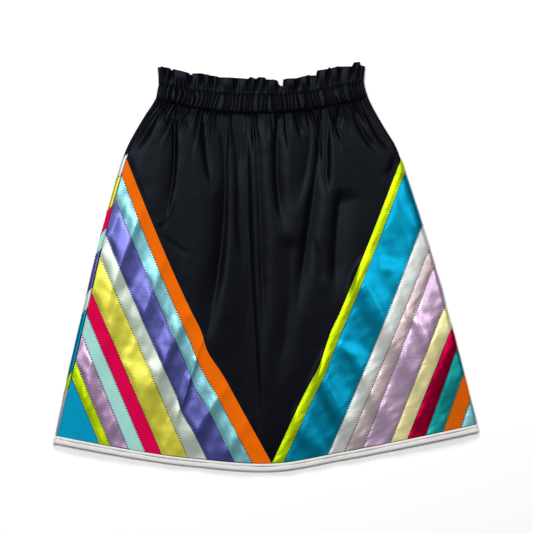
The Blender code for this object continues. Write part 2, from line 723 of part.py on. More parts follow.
def front_ruffle_columns():
    """Place, top and stand of the front ruffle's columns: a crease, then three points over each lobe."""
    columns = [(RUFFLE_LEFT, RUFFLE_LOBES[0].top - 6, -RUFFLE_CREASE)]
    left = RUFFLE_LEFT
    for number, lobe in enumerate(RUFFLE_LOBES):
        after = RUFFLE_LOBES[min(number + 1, len(RUFFLE_LOBES) - 1)]
        for share, height in ((0.22, 0.8), (0.5, 1.0), (0.8, 0.75)):
            columns.append((left + (lobe.right - left) * share, lobe.top, lobe.stand * height))
        columns.append((lobe.right, min(lobe.top, after.top) - 2, -RUFFLE_CREASE))
        left = lobe.right
    return columns


def back_ruffle_columns():
    """The same for the plain lobes of the back, whose creases rise from the floor."""
    left, right = RUFFLE_LEFT, RUFFLE_LOBES[-1].right
    columns = []
    for number in range(4 * BACK_RUFFLE_LOBES + 1):
        x = left + (right - left) * number / (4 * BACK_RUFFLE_LOBES)
        crease = number % 4 == 0
        top = arc_y(RUFFLE_TOP, x) - (5 if crease else 3)
        inside = 0 < number < 4 * BACK_RUFFLE_LOBES
        columns.append((x, top, -BACK_RUFFLE_CREASE if crease and inside else 0))
    return columns


def add_ruffle(face, columns, rows, skirt):
    """The doubled frill above the casing; its lobes open towards the top edge."""
    first, last = columns[0][0], columns[-1][0]
    bm, grid = net(len(columns), rows)
    for number, (x, top, stand) in enumerate(columns):
        share = (x - first) / (last - first)
        low = arc_height(face, CASING_TOP, share) + GAP / 2
        for row in range(rows):
            up = row / (rows - 1)
            y = low + (top - low) * up
            x = waist_x(face, share, y)
            relief = stand * (0.25 + 0.75 * up)
            if relief > 0:
                relief *= inside_fold(face, x, y)
            grid[row][number].co = (x, y, relief)
    bmesh.ops.triangulate(bm, faces=bm.faces[:])
    add_wall(f"{face}_ruffle", bm, face, -RUFFLE_WALL, 0, "taffeta", skirt)
    bm.free()


def add_pocket_bag(bag, skirt):
    """A flat bag from the side seam, with a round lower corner."""
    outer = [
        (read(OUTLINE, "left" if bag.side == LEFT else "right", y) - bag.side * BAG_SIDE_INSET, y)
        for y in (
            BAG_TOP + (bag.bottom - BAG_TOP) * n / (BAG_SIDE_POINTS - 1) for n in range(BAG_SIDE_POINTS)
        )
    ]
    corner_x = bag.inner + bag.side * bag.corner
    corner_y = bag.bottom + bag.corner
    rounded = [
        (
            corner_x - bag.side * bag.corner * math.sin(math.pi / 2 * n / BAG_CORNER_POINTS),
            corner_y - bag.corner * math.cos(math.pi / 2 * n / BAG_CORNER_POINTS),
        )
        for n in range(BAG_CORNER_POINTS + 1)
    ]
    bm = bmesh.new()
    loop = [bm.verts.new((x, y, BAG_LOW)) for x, y in outer + rounded + [(bag.inner, BAG_TOP)]]
    base = bm.faces.new(loop)
    raised = bmesh.ops.extrude_face_region(bm, geom=[base])["geom"]
    top = [v for v in raised if isinstance(v, bmesh.types.BMVert)]
    bmesh.ops.translate(bm, verts=top, vec=(0, 0, BAG_HIGH - BAG_LOW))
    add_object(f"pocket_bag_{SIDE_NAMES[bag.side]}", bm, "taffeta", skirt)


def centre(skirt):
    """Puts the origin on the floor under the middle of the outline."""
    places = [vert.co for obj in skirt.children for vert in obj.data.vertices]
    low = Vector(min(place[axis] for place in places) for axis in range(3))
    high = Vector(max(place[axis] for place in places) for axis in range(3))
    shift = Matrix.Translation((-(low.x + high.x) / 2, -(low.y + high.y) / 2, -low.z))
    for obj in skirt.children:
        obj.data.transform(shift)


def main():
    for old in list(bpy.data.objects):
        bpy.data.objects.remove(old)
    skirt = bpy.data.objects.new("skirt", None)
    bpy.context.scene.collection.objects.link(skirt)
    add_panel(FRONT, NAVY_ROWS, WELD_ROW, skirt)
    add_panel(BACK, BACK_ROWS, BACK_WELD_ROW, skirt)
    add_binding(FRONT, skirt)
    add_binding(BACK, skirt)
    add_casing(FRONT, FRONT_CASING_GATHERS, 3, 3, skirt)
    add_casing(BACK, BACK_CASING_GATHERS, 2, 3, skirt)
    add_ruffle(FRONT, front_ruffle_columns(), 3, skirt)
    add_ruffle(BACK, back_ruffle_columns(), 3, skirt)
    for bag in BAGS:
        add_pocket_bag(bag, skirt)
    centre(skirt)


main()
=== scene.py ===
"""Ribbon skirt laid flat: the cloth, satin ribbons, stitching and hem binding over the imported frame.

Each piece starts as a flat net in millimetres, the way the CAD nets do: across runs round the skirt,
y runs from hem to waist, and lift stands out from the cloth's surface. The net is then wrapped round
the flattened tube. Positions that are read off the photograph are in its pixels, 1.5 mm each.
"""

import math
from collections import namedtuple
from functools import lru_cache

import bmesh
import bpy
import numpy as np
from mathutils import Matrix, Vector


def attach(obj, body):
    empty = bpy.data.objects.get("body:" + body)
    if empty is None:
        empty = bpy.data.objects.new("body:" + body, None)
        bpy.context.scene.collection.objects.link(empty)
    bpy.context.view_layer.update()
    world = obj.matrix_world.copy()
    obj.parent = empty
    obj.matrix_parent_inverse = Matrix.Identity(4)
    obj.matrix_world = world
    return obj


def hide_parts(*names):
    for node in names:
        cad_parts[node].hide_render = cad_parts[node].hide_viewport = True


bl_info = {
    "name": "Ribbon Skirt",
    "version": (1, 0, 0),
    "blender": (4, 5, 0),
    "location": "View3D > Sidebar > Ribbon Skirt",
    "description": "Makes a gathered ribbon skirt, laid flat, piece by piece",
    "category": "Add Mesh",
}

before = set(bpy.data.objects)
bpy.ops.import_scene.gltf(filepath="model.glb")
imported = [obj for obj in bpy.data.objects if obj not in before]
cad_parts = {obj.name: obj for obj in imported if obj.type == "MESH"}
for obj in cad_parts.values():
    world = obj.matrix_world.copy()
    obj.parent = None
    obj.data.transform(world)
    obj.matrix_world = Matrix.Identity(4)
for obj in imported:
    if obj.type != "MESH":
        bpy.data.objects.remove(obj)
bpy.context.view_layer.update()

METRES = 0.001
PIXEL = 1.5
IMAGE = 533
FRONT, BACK = "front", "back"
LEFT, RIGHT = -1, 1
SIDE_NAMES = {LEFT: "left", RIGHT: "right"}
ORIGIN_SHIFT = np.array((0.9107, 1.1374, 0.0))

ROLL = 7.0
UNDER_ROLL = 5.5
FOLD_MIDDLE = 0.45
SHOULDER_DROP = 2.5
SHOULDER_WIDTH = 24.0
SEAM_GAP = 0.3
RIBBON_FACE = 1.1
THREAD_FLOOR = 0.75
OVERLAP = 0.012
FRONT_RIBBONS_ROUND = 32.0
TIP_X = 8.0
FAN = 0.65
GATHER_RUN = 70.0
BACK_CREASES = 0.3
BACK_PUCKER = 0.42
WAIST_GATHERS_BACK = 1.8
LOWEST = 0.05

# Walls, overlaps and the lowest heights that each piece may reach, in millimetres
PANEL_WALL = 1.0
FRILL_WALL = 1.2
CASING_INSIDE = -3.4
CASING_LOWEST = -2.6
CASING_OVERLAP = 1.0
FRILL_OVERLAP = 0.6
HEM_OVERLAP = 0.2
TAPE_STITCH = 4.2
TAPE_ROUND = 2.6
CLOTH_LOWEST = 4.4
WAIST_ROOM = 1.2
BAG_ROOM = 3.2

# A ribbon's own width and length against those across and down the panel
RIBBON_ACROSS = 0.91
RIBBON_ALONG = 1.1
LONGEST_ALONG = 1.12
WIDTH_MEASURED_AT = -250.0
NARROWEST_CUT = 14.0
SHORTEST_CUT = 20

# Width and length that each piece is cut from, in metres
PANEL_CUT = (0.66, 0.56)
CASING_CUT = (0.38, 0.036)
FRILL_CUT = (0.42, 0.040)
TAPE_LENGTH = 0.67
TAPE_FOLDED = 1.25

# Columns and rows of each piece's net
PANEL_NETS = {FRONT: (300, 160), BACK: (120, 70)}
TAPE_NETS = {FRONT: (330, 14), BACK: (200, 8)}
TAPE_WIDTHS = {FRONT: 11.3, BACK: 13.3}
CASING_NETS = {FRONT: (430, 24), BACK: (240, 10)}
FRILL_NETS = {FRONT: (460, 26), BACK: (220, 12)}
RIBBON_STEPS = {FRONT: (1.9, 2.0), BACK: (5.0, 5.0)}
HEM_STITCHES = 210

Outline = namedtuple("Outline", "y left right wrap")
OUTLINE = (
    Outline(y=-312, left=-329.0, right=334.0, wrap=4.0),
    Outline(y=-254, left=-317.0, right=319.3, wrap=4.5),
    Outline(y=-155, left=-296.3, right=294.8, wrap=8.0),
    Outline(y=-65, left=-275.3, right=270.8, wrap=8.7),
    Outline(y=25, left=-254.3, right=245.3, wrap=8.7),
    Outline(y=93, left=-236.3, right=224.3, wrap=8.7),
    Outline(y=160, left=-216.8, right=201.8, wrap=8.7),
    Outline(y=183, left=-207.8, right=192.8, wrap=8.7),
    Outline(y=205, left=-195.8, right=179.3, wrap=8.7),
    Outline(y=228, left=-182.0, right=165.8, wrap=8.7),
    Outline(y=251, left=-167.5, right=154.0, wrap=8.0),
    Outline(y=277, left=-162.5, right=146.5, wrap=8.0),
    Outline(y=310, left=-164.5, right=149.5, wrap=8.0),
)

Hem = namedtuple("Hem", "x y")
HEM = (
    Hem(x=-345, y=-248.0),
    Hem(x=-205, y=-274.5),
    Hem(x=-118, y=-287.0),
    Hem(x=8, y=-295.3),
    Hem(x=113, y=-278.3),
    Hem(x=205, y=-260.3),
    Hem(x=350, y=-229.0),
)

Arc = namedtuple("Arc", "x y radius")
CASING_BOTTOM = Arc(x=-12.0, y=228.4, radius=568.0)
CASING_TOP = Arc(x=-15.0, y=256.6, radius=588.0)
RUFFLE_TOP = Arc(x=-12.0, y=284.6, radius=683.0)

Height = namedtuple("Height", "drop middle side")
HEIGHTS = (
    Height(drop=-60, middle=8.8, side=8.8),
    Height(drop=-28, middle=9.7, side=9.7),
    Height(drop=0, middle=10.4, side=10.2),
    Height(drop=40, middle=12.5, side=11.0),
    Height(drop=150, middle=12.0, side=11.0),
    Height(drop=300, middle=10.0, side=10.5),
    Height(drop=450, middle=7.0, side=9.5),
    Height(drop=530, middle=4.4, side=8.8),
)

# Folds of the front, through three points in pixels. Each is a trough, or a ridge where its depth
# is negative; left and right are its widths to either side and keen is how sharp its bottom is.
Fold = namedtuple("Fold", "top mid end left right depth keen")
FOLDS = (
    Fold(top=(160, 102), mid=(150, 125), end=(136, 150), left=8, right=8, depth=3.2, keen=0.4),
    Fold(top=(162, 111), mid=(168, 121), end=(174, 130), left=6, right=6, depth=1.7, keen=0.4),
    Fold(top=(174, 113), mid=(174, 165), end=(165, 224), left=11, right=4, depth=4.2, keen=0.5),
    Fold(top=(190, 105), mid=(188, 116), end=(187, 128), left=4, right=6, depth=2.6, keen=0.5),
    Fold(top=(204, 111), mid=(206, 150), end=(212, 190), left=8, right=15, depth=4.9, keen=0.4),
    Fold(top=(222, 117), mid=(224, 215), end=(206, 337), left=16, right=9, depth=6.4, keen=0.4),
    Fold(top=(236, 117), mid=(238, 180), end=(243, 268), left=10, right=10, depth=3.8, keen=0.4),
    Fold(top=(246, 116), mid=(250, 270), end=(258, 440), left=30, right=9, depth=6.4, keen=0.3),
    Fold(top=(255, 118), mid=(260, 215), end=(263, 355), left=8, right=12, depth=4.1, keen=0.5),
    Fold(top=(279, 117), mid=(277, 180), end=(284, 232), left=8, right=14, depth=5.6, keen=0.5),
    Fold(top=(289, 246), mid=(288, 310), end=(278, 375), left=15, right=15, depth=2.6, keen=0.3),
    Fold(top=(293, 111), mid=(299, 123), end=(303, 137), left=6, right=6, depth=2.6, keen=0.5),
    Fold(top=(311, 113), mid=(308, 160), end=(297, 205), left=18, right=10, depth=4.3, keen=0.4),
    Fold(top=(322, 125), mid=(313, 195), end=(297, 307), left=8, right=14, depth=5.8, keen=0.4),
    Fold(top=(326, 102), mid=(325, 140), end=(328, 188), left=9, right=6, depth=6.4, keen=0.6),
    Fold(top=(340, 200), mid=(336, 240), end=(335, 296), left=9, right=18, depth=4.3, keen=0.4),
    Fold(top=(341, 103), mid=(338, 120), end=(332, 138), left=6, right=6, depth=3.2, keen=0.5),
    Fold(top=(356, 115), mid=(363, 133), end=(376, 152), left=6, right=8, depth=3.5, keen=0.4),
    Fold(top=(363, 101), mid=(375, 124), end=(388, 149), left=8, right=8, depth=4.6, keen=0.4),
    Fold(top=(398, 158), mid=(393, 168), end=(386, 180), left=9, right=8, depth=2.3, keen=0.4),
    Fold(top=(172, 243), mid=(179, 248), end=(187, 256), left=8, right=6, depth=1.0, keen=0.5),
    Fold(top=(317, 250), mid=(320, 265), end=(323, 282), left=6, right=6, depth=2.0, keen=0.6),
    Fold(top=(142, 212), mid=(128, 246), end=(106, 312), left=14, right=11, depth=-3.1, keen=0.2),
    Fold(top=(133, 190), mid=(118, 218), end=(104, 250), left=11, right=13, depth=1.4, keen=0.1),
    Fold(top=(164, 260), mid=(152, 294), end=(136, 330), left=14, right=11, depth=-2.9, keen=0.2),
    Fold(top=(187, 314), mid=(171, 346), end=(149, 410), left=18, right=11, depth=-3.6, keen=0.1),
    Fold(top=(205, 340), mid=(191, 382), end=(176, 428), left=11, right=5, depth=-3.3, keen=0.6),
    Fold(top=(224, 390), mid=(204, 420), end=(189, 450), left=13, right=11, depth=-3.2, keen=0.2),
    Fold(top=(246, 422), mid=(236, 440), end=(226, 460), left=11, right=11, depth=-2.2, keen=0.1),
    Fold(top=(120, 300), mid=(108, 330), end=(96, 372), left=14, right=14, depth=-2.1, keen=0.0),
    Fold(top=(148, 372), mid=(138, 404), end=(128, 440), left=16, right=14, depth=-1.9, keen=0.0),
    Fold(top=(100, 345), mid=(90, 385), end=(82, 430), left=14, right=16, depth=-1.8, keen=0.0),
    Fold(top=(396, 172), mid=(412, 208), end=(424, 246), left=22, right=18, depth=-2.5, keen=0.0),
    Fold(top=(344, 260), mid=(381, 316), end=(416, 392), left=23, right=29, depth=-5.1, keen=0.0),
    Fold(top=(392, 268), mid=(414, 314), end=(436, 366), left=16, right=18, depth=-2.9, keen=0.0),
    Fold(top=(306, 350), mid=(332, 396), end=(356, 446), left=20, right=23, depth=-4.2, keen=0.0),
    Fold(top=(352, 352), mid=(370, 388), end=(386, 436), left=13, right=16, depth=-2.7, keen=0.1),
    Fold(top=(420, 322), mid=(434, 360), end=(446, 404), left=13, right=14, depth=-2.5, keen=0.0),
    Fold(top=(290, 402), mid=(302, 428), end=(316, 456), left=13, right=14, depth=-2.1, keen=0.0),
)

# Gathers under the casing: where each starts, in pixels, how far it runs and how deep it is
Gather = namedtuple("Gather", "x run depth")
GATHERS = (
    Gather(x=158, run=45, depth=1.4), Gather(x=164, run=60, depth=2.0),
    Gather(x=168, run=40, depth=1.6), Gather(x=172, run=25, depth=1.0),
    Gather(x=177, run=75, depth=2.4), Gather(x=184, run=40, depth=1.6),
    Gather(x=188, run=22, depth=1.1), Gather(x=191, run=60, depth=1.8),
    Gather(x=197, run=28, depth=1.2), Gather(x=203, run=80, depth=2.2),
    Gather(x=207, run=26, depth=1.2), Gather(x=211, run=40, depth=1.6),
    Gather(x=216, run=70, depth=2.0), Gather(x=220, run=24, depth=1.1),
    Gather(x=224, run=36, depth=1.2), Gather(x=230, run=75, depth=2.2),
    Gather(x=235, run=36, depth=1.5), Gather(x=239, run=24, depth=1.0),
    Gather(x=244, run=90, depth=2.8), Gather(x=248, run=26, depth=1.2),
    Gather(x=252, run=80, depth=2.4), Gather(x=256, run=48, depth=1.8),
    Gather(x=261, run=28, depth=1.2), Gather(x=266, run=55, depth=1.8),
    Gather(x=271, run=34, depth=1.4), Gather(x=276, run=24, depth=1.0),
    Gather(x=282, run=70, depth=1.9), Gather(x=288, run=26, depth=1.1),
    Gather(x=295, run=60, depth=2.0), Gather(x=300, run=28, depth=1.2),
    Gather(x=305, run=38, depth=1.4), Gather(x=310, run=80, depth=2.0),
    Gather(x=316, run=34, depth=1.4), Gather(x=320, run=22, depth=1.0),
    Gather(x=326, run=85, depth=2.8), Gather(x=331, run=26, depth=1.2),
    Gather(x=336, run=36, depth=1.3), Gather(x=341, run=60, depth=1.8),
    Gather(x=346, run=28, depth=1.2), Gather(x=350, run=40, depth=1.4),
    Gather(x=355, run=58, depth=1.8), Gather(x=359, run=28, depth=1.2),
    Gather(x=364, run=60, depth=2.2),
)
CASING_GATHERS = {FRONT: 54, BACK: 34}

# Where a fold pushes the cloth sideways, and the ribbons with it
Push = namedtuple("Push", "x y wide tall by")
PUSHES = (
    Push(x=210, y=354, wide=15, tall=17, by=-3.6),
    Push(x=199, y=384, wide=12, tall=15, by=-2.8),
    Push(x=186, y=414, wide=12, tall=15, by=-2.6),
    Push(x=205, y=326, wide=14, tall=12, by=0.8),
    Push(x=316, y=366, wide=14, tall=22, by=2.6),
    Push(x=330, y=330, wide=12, tall=12, by=-1.0),
)

# The ruffle's top edge, in pixels
Top = namedtuple("Top", "x y")
RUFFLE_EDGE = (
    Top(156.0, 72.6), Top(158.6, 67.2), Top(159.6, 65.3), Top(164.5, 67.2), Top(170.6, 68.2),
    Top(171.4, 70.6), Top(173.6, 69.0), Top(182, 71.0), Top(189.6, 73.2), Top(190.6, 76.0),
    Top(192.8, 73.4), Top(201, 73.2), Top(210, 75.2), Top(217.6, 76.4), Top(219.4, 77.2),
    Top(236, 77.8), Top(248, 78.8), Top(250.4, 76.8), Top(256.0, 78.8), Top(258.6, 77.0),
    Top(264.8, 77.4), Top(267.4, 80.4), Top(277.6, 80.2), Top(278.8, 85.0), Top(282.4, 86.2),
    Top(283.2, 79.2), Top(296, 78.4), Top(309.8, 74.6), Top(311.0, 77.6), Top(315.8, 77.0),
    Top(316.8, 70.4), Top(327.0, 69.0), Top(329.2, 66.8), Top(330.4, 68.4), Top(337, 66.4),
    Top(351.8, 66.4), Top(353.2, 62.4), Top(359.6, 61.8), Top(360.6, 65.2), Top(366.0, 66.4),
)

# Lobes of the front ruffle: where each ends, in pixels, and how far it stands out
Lobe = namedtuple("Lobe", "right stand")
LOBES = (
    Lobe(164, 3.4), Lobe(171, 4.6), Lobe(190, 5.0), Lobe(201, 3.6), Lobe(211, 4.6), Lobe(218, 3.4),
    Lobe(236, 4.4), Lobe(249, 3.4), Lobe(257, 4.8), Lobe(266, 4.0), Lobe(278, 4.6), Lobe(282.5, -1.8),
    Lobe(297, 5.2), Lobe(310, 4.2), Lobe(316.5, -1.6), Lobe(328, 5.0), Lobe(340, 4.6),
    Lobe(352.5, 3.4), Lobe(360.5, 5.2), Lobe(374, 3.2),
)

FRILL_LEFT = -160.5
# Where the frill's top edge dips between two lobes, in pixels
FRILL_NOTCH = 280.4

Ribbon = namedtuple("Ribbon", "name finish side_y hem_x bow")
Chevron = namedtuple("Chevron", "side_y hem_x bow ribbons")
CHEVRONS = {
    (FRONT, LEFT): Chevron(side_y=161, hem_x=TIP_X, bow=12, ribbons=(
        Ribbon("orange", "orange", side_y=136.6, hem_x=-20.7, bow=10),
        Ribbon("aqua", "aqua", side_y=103.0, hem_x=-48.0, bow=6),
        Ribbon("periwinkle", "periwinkle", side_y=49.0, hem_x=-88.8, bow=3),
        Ribbon("silver", "sage", side_y=15.1, hem_x=-117.9, bow=0),
        Ribbon("gold", "gold", side_y=-37.9, hem_x=-156.6, bow=0),
        Ribbon("crimson", "crimson", side_y=-71.2, hem_x=-182.0, bow=0),
        Ribbon("mint", "mint", side_y=-102.0, hem_x=-206.6, bow=0),
        Ribbon("lilac", "lilac", side_y=-142.1, hem_x=-233.9, bow=0),
        Ribbon("lime", "lime", side_y=-165.8, hem_x=-250.2, bow=0),
        Ribbon("blue", "blue_matte", side_y=None, hem_x=None, bow=0),
    )),
    (FRONT, RIGHT): Chevron(side_y=163.4, hem_x=TIP_X, bow=6, ribbons=(
        Ribbon("lime", "lime", side_y=145.9, hem_x=25.2, bow=6),
        Ribbon("blue", "blue", side_y=66.7, hem_x=92.1, bow=3),
        Ribbon("silver", "silver", side_y=31.3, hem_x=117.3, bow=1),
        Ribbon("pink", "pink", side_y=5.6, hem_x=144.2, bow=0),
        # Painted light: this lilac ribbon takes a lighter copy of the lilac colour, to stand in for
        # light on the side turned from it
        Ribbon("lilac", "orchid", side_y=-52.9, hem_x=185.7, bow=0),
        Ribbon("straw", "straw", side_y=-88.3, hem_x=211.1, bow=0),
        Ribbon("crimson", "ruby", side_y=-118.7, hem_x=239.1, bow=0),
        Ribbon("teal", "teal", side_y=-156.7, hem_x=264.9, bow=0),
        # Painted shade: this orange ribbon takes a darker copy of the orange colour, for the side turned
        # from the light
        Ribbon("orange", "amber", side_y=-196.3, hem_x=291.6, bow=0),
        Ribbon("aqua", "aqua", side_y=None, hem_x=None, bow=0),
    )),
    (BACK, LEFT): Chevron(side_y=170.0, hem_x=TIP_X, bow=0, ribbons=(
        Ribbon("cream", "silver", side_y=139.4, hem_x=-19.6, bow=0),
        Ribbon("gold", "gold", side_y=92.4, hem_x=-60.6, bow=0),
        Ribbon("crimson", "crimson", side_y=58.2, hem_x=-87.0, bow=0),
        Ribbon("mint", "mint", side_y=26.8, hem_x=-113.4, bow=0),
        Ribbon("periwinkle", "periwinkle", side_y=-30.4, hem_x=-156.6, bow=0),
        Ribbon("silver", "silver", side_y=-61.9, hem_x=-183.0, bow=0),
        Ribbon("blue", "blue", side_y=-156.4, hem_x=-251.4, bow=0),
        Ribbon("lime", "lime", side_y=-180.4, hem_x=-266.6, bow=0),
        Ribbon("pink", "pink", side_y=None, hem_x=None, bow=0),
    )),
    (BACK, RIGHT): Chevron(side_y=163.0, hem_x=TIP_X, bow=0, ribbons=(
        Ribbon("teal", "teal", side_y=131.0, hem_x=34.0, bow=0),
        Ribbon("lilac", "lilac", side_y=84.0, hem_x=75.0, bow=0),
        Ribbon("orange", "orange", side_y=52.0, hem_x=101.0, bow=0),
        Ribbon("straw", "straw", side_y=21.0, hem_x=127.0, bow=0),
        Ribbon("aqua", "aqua", side_y=-34.0, hem_x=170.0, bow=0),
        Ribbon("crimson", "crimson", side_y=-66.0, hem_x=197.0, bow=0),
        Ribbon("blue", "blue", side_y=-160.0, hem_x=265.0, bow=0),
        Ribbon("lime", "lime", side_y=-184.0, hem_x=280.0, bow=0),
        Ribbon("silver", "silver", side_y=None, hem_x=None, bow=0),
    )),
}

# Pocket bags press through the front as a low step
Bag = namedtuple("Bag", "side inner bottom corner step")
BAGS = (
    Bag(side=LEFT, inner=-140.0, bottom=60.0, corner=34.0, step=1.0),
    Bag(side=RIGHT, inner=90.0, bottom=104.0, corner=30.0, step=0.25),
)
BAG_STEP_WIDTH = 6.0

# How each ribbon's finish is woven: its record slot, how rough it is, how far its sheen takes the
# ribbon's own colour, its clear gloss and how much it puckers
Weave = namedtuple("Weave", "slot rough metal gloss pucker ribbed")
WEAVES = {
    "orange": Weave("orange", 0.60, 0.0, 0.0, 0.25, True),
    # Painted shade: a darker copy of the orange finish for the right side's orange ribbon
    "amber": Weave("orange", 0.60, 0.0, 0.0, 0.25, True),
    "aqua": Weave("aqua", 0.36, 0.55, 0.35, 1.0, False),
    "periwinkle": Weave("periwinkle", 0.32, 0.68, 0.35, 0.8, False),
    "sage": Weave("silver", 0.38, 0.40, 0.20, 1.0, False),
    "silver": Weave("silver", 0.36, 0.45, 0.10, 0.8, False),
    "gold": Weave("gold", 0.38, 0.48, 0.25, 1.0, False),
    "crimson": Weave("crimson", 0.62, 0.0, 0.0, 0.25, True),
    "ruby": Weave("crimson", 0.31, 0.88, 0.0, 1.0, False),
    "mint": Weave("mint", 0.60, 0.0, 0.0, 0.3, True),
    "lilac": Weave("lilac", 0.32, 0.68, 0.25, 1.0, False),
    # Painted light: a lighter copy of the lilac finish for the right side's lilac ribbon
    "orchid": Weave("lilac", 0.32, 0.66, 0.30, 1.0, False),
    "lime": Weave("lime", 0.40, 0.70, 0.0, 1.0, False),
    "blue": Weave("blue", 0.34, 0.88, 0.0, 0.45, False),
    "blue_matte": Weave("blue", 0.58, 0.0, 0.0, 0.25, True),
    "pink": Weave("pink", 0.36, 0.55, 0.30, 1.0, False),
    "straw": Weave("straw", 0.36, 0.55, 0.20, 0.8, False),
    "teal": Weave("teal", 0.38, 0.80, 0.05, 1.0, False),
}


# Numbers and curves

def smooth(t):
    t = np.clip(t, 0.0, 1.0)
    return t * t * (3 - 2 * t)


@lru_cache(maxsize=None)
def curve_parts(rows, column):
    """A table's places, one column of its values, and the slopes of a smooth curve through them."""
    keys = np.array([row[0] for row in rows], float)
    values = np.array([getattr(row, column) for row in rows], float)
    number = np.arange(len(keys))
    before, after = np.maximum(number - 1, 0), np.minimum(number + 1, len(keys) - 1)
    return keys, values, (values[after] - values[before]) / (keys[after] - keys[before])


def curve(rows, column, at):
    """A table's column on a smooth curve through its rows, read at places of its first column."""
    keys, values, slopes = curve_parts(rows, column)
    at = np.clip(at, keys[0], keys[-1])
    i = np.clip(np.searchsorted(keys, at, side="right") - 1, 0, len(keys) - 2)
    span = keys[i + 1] - keys[i]
    t = (at - keys[i]) / span
    rise = smooth(t)
    ease = slopes[i] * t * (1 - t) ** 2 * span + slopes[i + 1] * t * t * (t - 1) * span
    return values[i] * (1 - rise) + values[i + 1] * rise + ease


def solve(function, low, high):
    """Where a function crosses zero between low and high, for arrays, by halving."""
    low, high = np.asarray(low, float) + 0, np.asarray(high, float) + 0
    sign = function(low) > 0
    for _ in range(20):
        middle = (low + high) / 2
        same = (function(middle) > 0) == sign
        low = np.where(same, middle, low)
        high = np.where(same, high, middle)
    return (low + high) / 2


def by_column(function, s):
    """A function of the share across a net, worked out once for each of its columns."""
    shares, place = np.unique(np.round(s, 7), return_inverse=True)
    return [np.asarray(found)[place] for found in function(shares)]


def chance(cells, seed):
    """A repeatable number from 0 to 1 for each whole number."""
    mixed = np.sin(cells * 12.9898 + seed * 78.233) * 43758.5453
    return mixed - np.floor(mixed)


def ripple(x, seed):
    """Smooth noise along a line, from -1 to 1."""
    cell = np.floor(x)
    t = smooth(x - cell)
    return (chance(cell, seed) * (1 - t) + chance(cell + 1, seed) * t) * 2 - 1


def mottle(x, y, seed):
    """Smooth noise over a plane, from -1 to 1."""
    row = np.floor(y)
    t = smooth(y - row)
    low = ripple(x + 17.3 * chance(row, seed), 3.1 * row + seed)
    high = ripple(x + 17.3 * chance(row + 1, seed), 3.1 * (row + 1) + seed)
    return low * (1 - t) + high * t


def at_pixel(x, y):
    """A pixel of the photograph as millimetres."""
    return (x - IMAGE / 2) * PIXEL, (IMAGE / 2 + 0.25 - y) * PIXEL


# The flattened tube

def arc_y(arc, x):
    return arc.y + arc.radius - np.sqrt(arc.radius ** 2 - (x - arc.x) ** 2)


def hem_y(x):
    return curve(HEM, "y", x)


def outline_x(edge, y):
    return np.where(edge < 0, curve(OUTLINE, "left", y), curve(OUTLINE, "right", y))


def front_height(x, y):
    """Height of the front's outer face before its folds."""
    drop = arc_y(CASING_BOTTOM, x) - y
    left, right = curve(OUTLINE, "left", y), curve(OUTLINE, "right", y)
    out = np.minimum(np.abs(2 * x - left - right) / (right - left), 1.0)
    middle, side = curve(HEIGHTS, "middle", drop), curve(HEIGHTS, "side", drop)
    to_edge = np.minimum(x - left, right - x) - ROLL
    shoulder = SHOULDER_DROP * (1 - smooth(to_edge / SHOULDER_WIDTH)) * smooth(drop / 40)
    return middle + (side - middle) * out ** 2 - shoulder


def back_height(x, y):
    """Height of the back's outer face: on the floor, and lifted where ribbons lie under it."""
    side = np.where(x < TIP_X, LEFT, RIGHT)
    left_y, right_y = (CHEVRONS[BACK, each].side_y for each in (LEFT, RIGHT))
    top_y = np.where(side < 0, left_y, right_y + FRONT_RIBBONS_ROUND)
    tip_y = hem_y(TIP_X)
    above = (x - TIP_X - (outline_x(side, top_y) - TIP_X) * (y - tip_y) / (top_y - tip_y)) * -side
    clear = smooth((above - 1) / 6)
    return RIBBON_FACE * (1 - clear) * smooth((arc_y(CASING_BOTTOM, x) - y) / 4)


def quarter(across, up):
    """Length of a quarter of an ellipse."""
    return math.pi / 2 * np.hypot(across, up) / math.sqrt(2)


def fold_shape(edge, y):
    """The side fold at a height: its outline, top, bottom and middle."""
    outline = outline_x(edge, y)
    top = front_height(outline - edge * ROLL, y)
    floor = back_height(outline - edge * UNDER_ROLL, y)
    return outline, top, floor, floor + FOLD_MIDDLE * (top - floor)


def flat_reach(face, edge, y):
    """Where the flat part of a face ends at a side, and the length of the roll beyond it."""
    outline, top, floor, middle = fold_shape(edge, y)
    if face == FRONT:
        return outline - edge * ROLL, quarter(ROLL, top - middle)
    return outline - edge * UNDER_ROLL, quarter(UNDER_ROLL, middle - floor)


def wrap(face, across, y, lift):
    """Places on the tube for a net's points, lifted out from it."""
    edge = np.where(across < TIP_X, -1.0, 1.0)
    outline, top, floor, middle = fold_shape(edge, y)
    over_roll, under_roll = quarter(ROLL, top - middle), quarter(UNDER_ROLL, middle - floor)
    if face == FRONT:
        into = over_roll + (outline - edge * ROLL - across) * edge
    else:
        into = -(under_roll + (outline - edge * UNDER_ROLL - across) * edge)
    over = into >= 0
    reach = np.where(over, ROLL, UNDER_ROLL)
    up = np.where(over, top - middle, floor - middle)
    length = np.where(over, over_roll, under_roll)
    beyond = np.abs(into) - length
    flat = beyond >= 0
    turn = (1 - np.clip(np.abs(into) / length, 0, 1)) * math.pi / 2
    x = np.where(flat, outline - edge * (reach + beyond), outline - edge * reach * (1 - np.sin(turn)))
    level = np.where(over, front_height(x, y), back_height(x, y))
    z = np.where(flat, level, middle + up * np.cos(turn))
    out_x = np.where(flat, 0.0, edge * np.sin(turn) / reach)
    out_z = np.where(flat, np.where(over, 1.0, -1.0), np.cos(turn) / up)
    length = np.hypot(out_x, out_z)
    z = np.maximum(z + out_z / length * lift, LOWEST)
    return np.stack([x + out_x / length * lift, y + 0 * x, z], axis=-1)


def outline_across(face, edge, y):
    reach, roll = flat_reach(face, edge, y)
    return reach + edge * roll


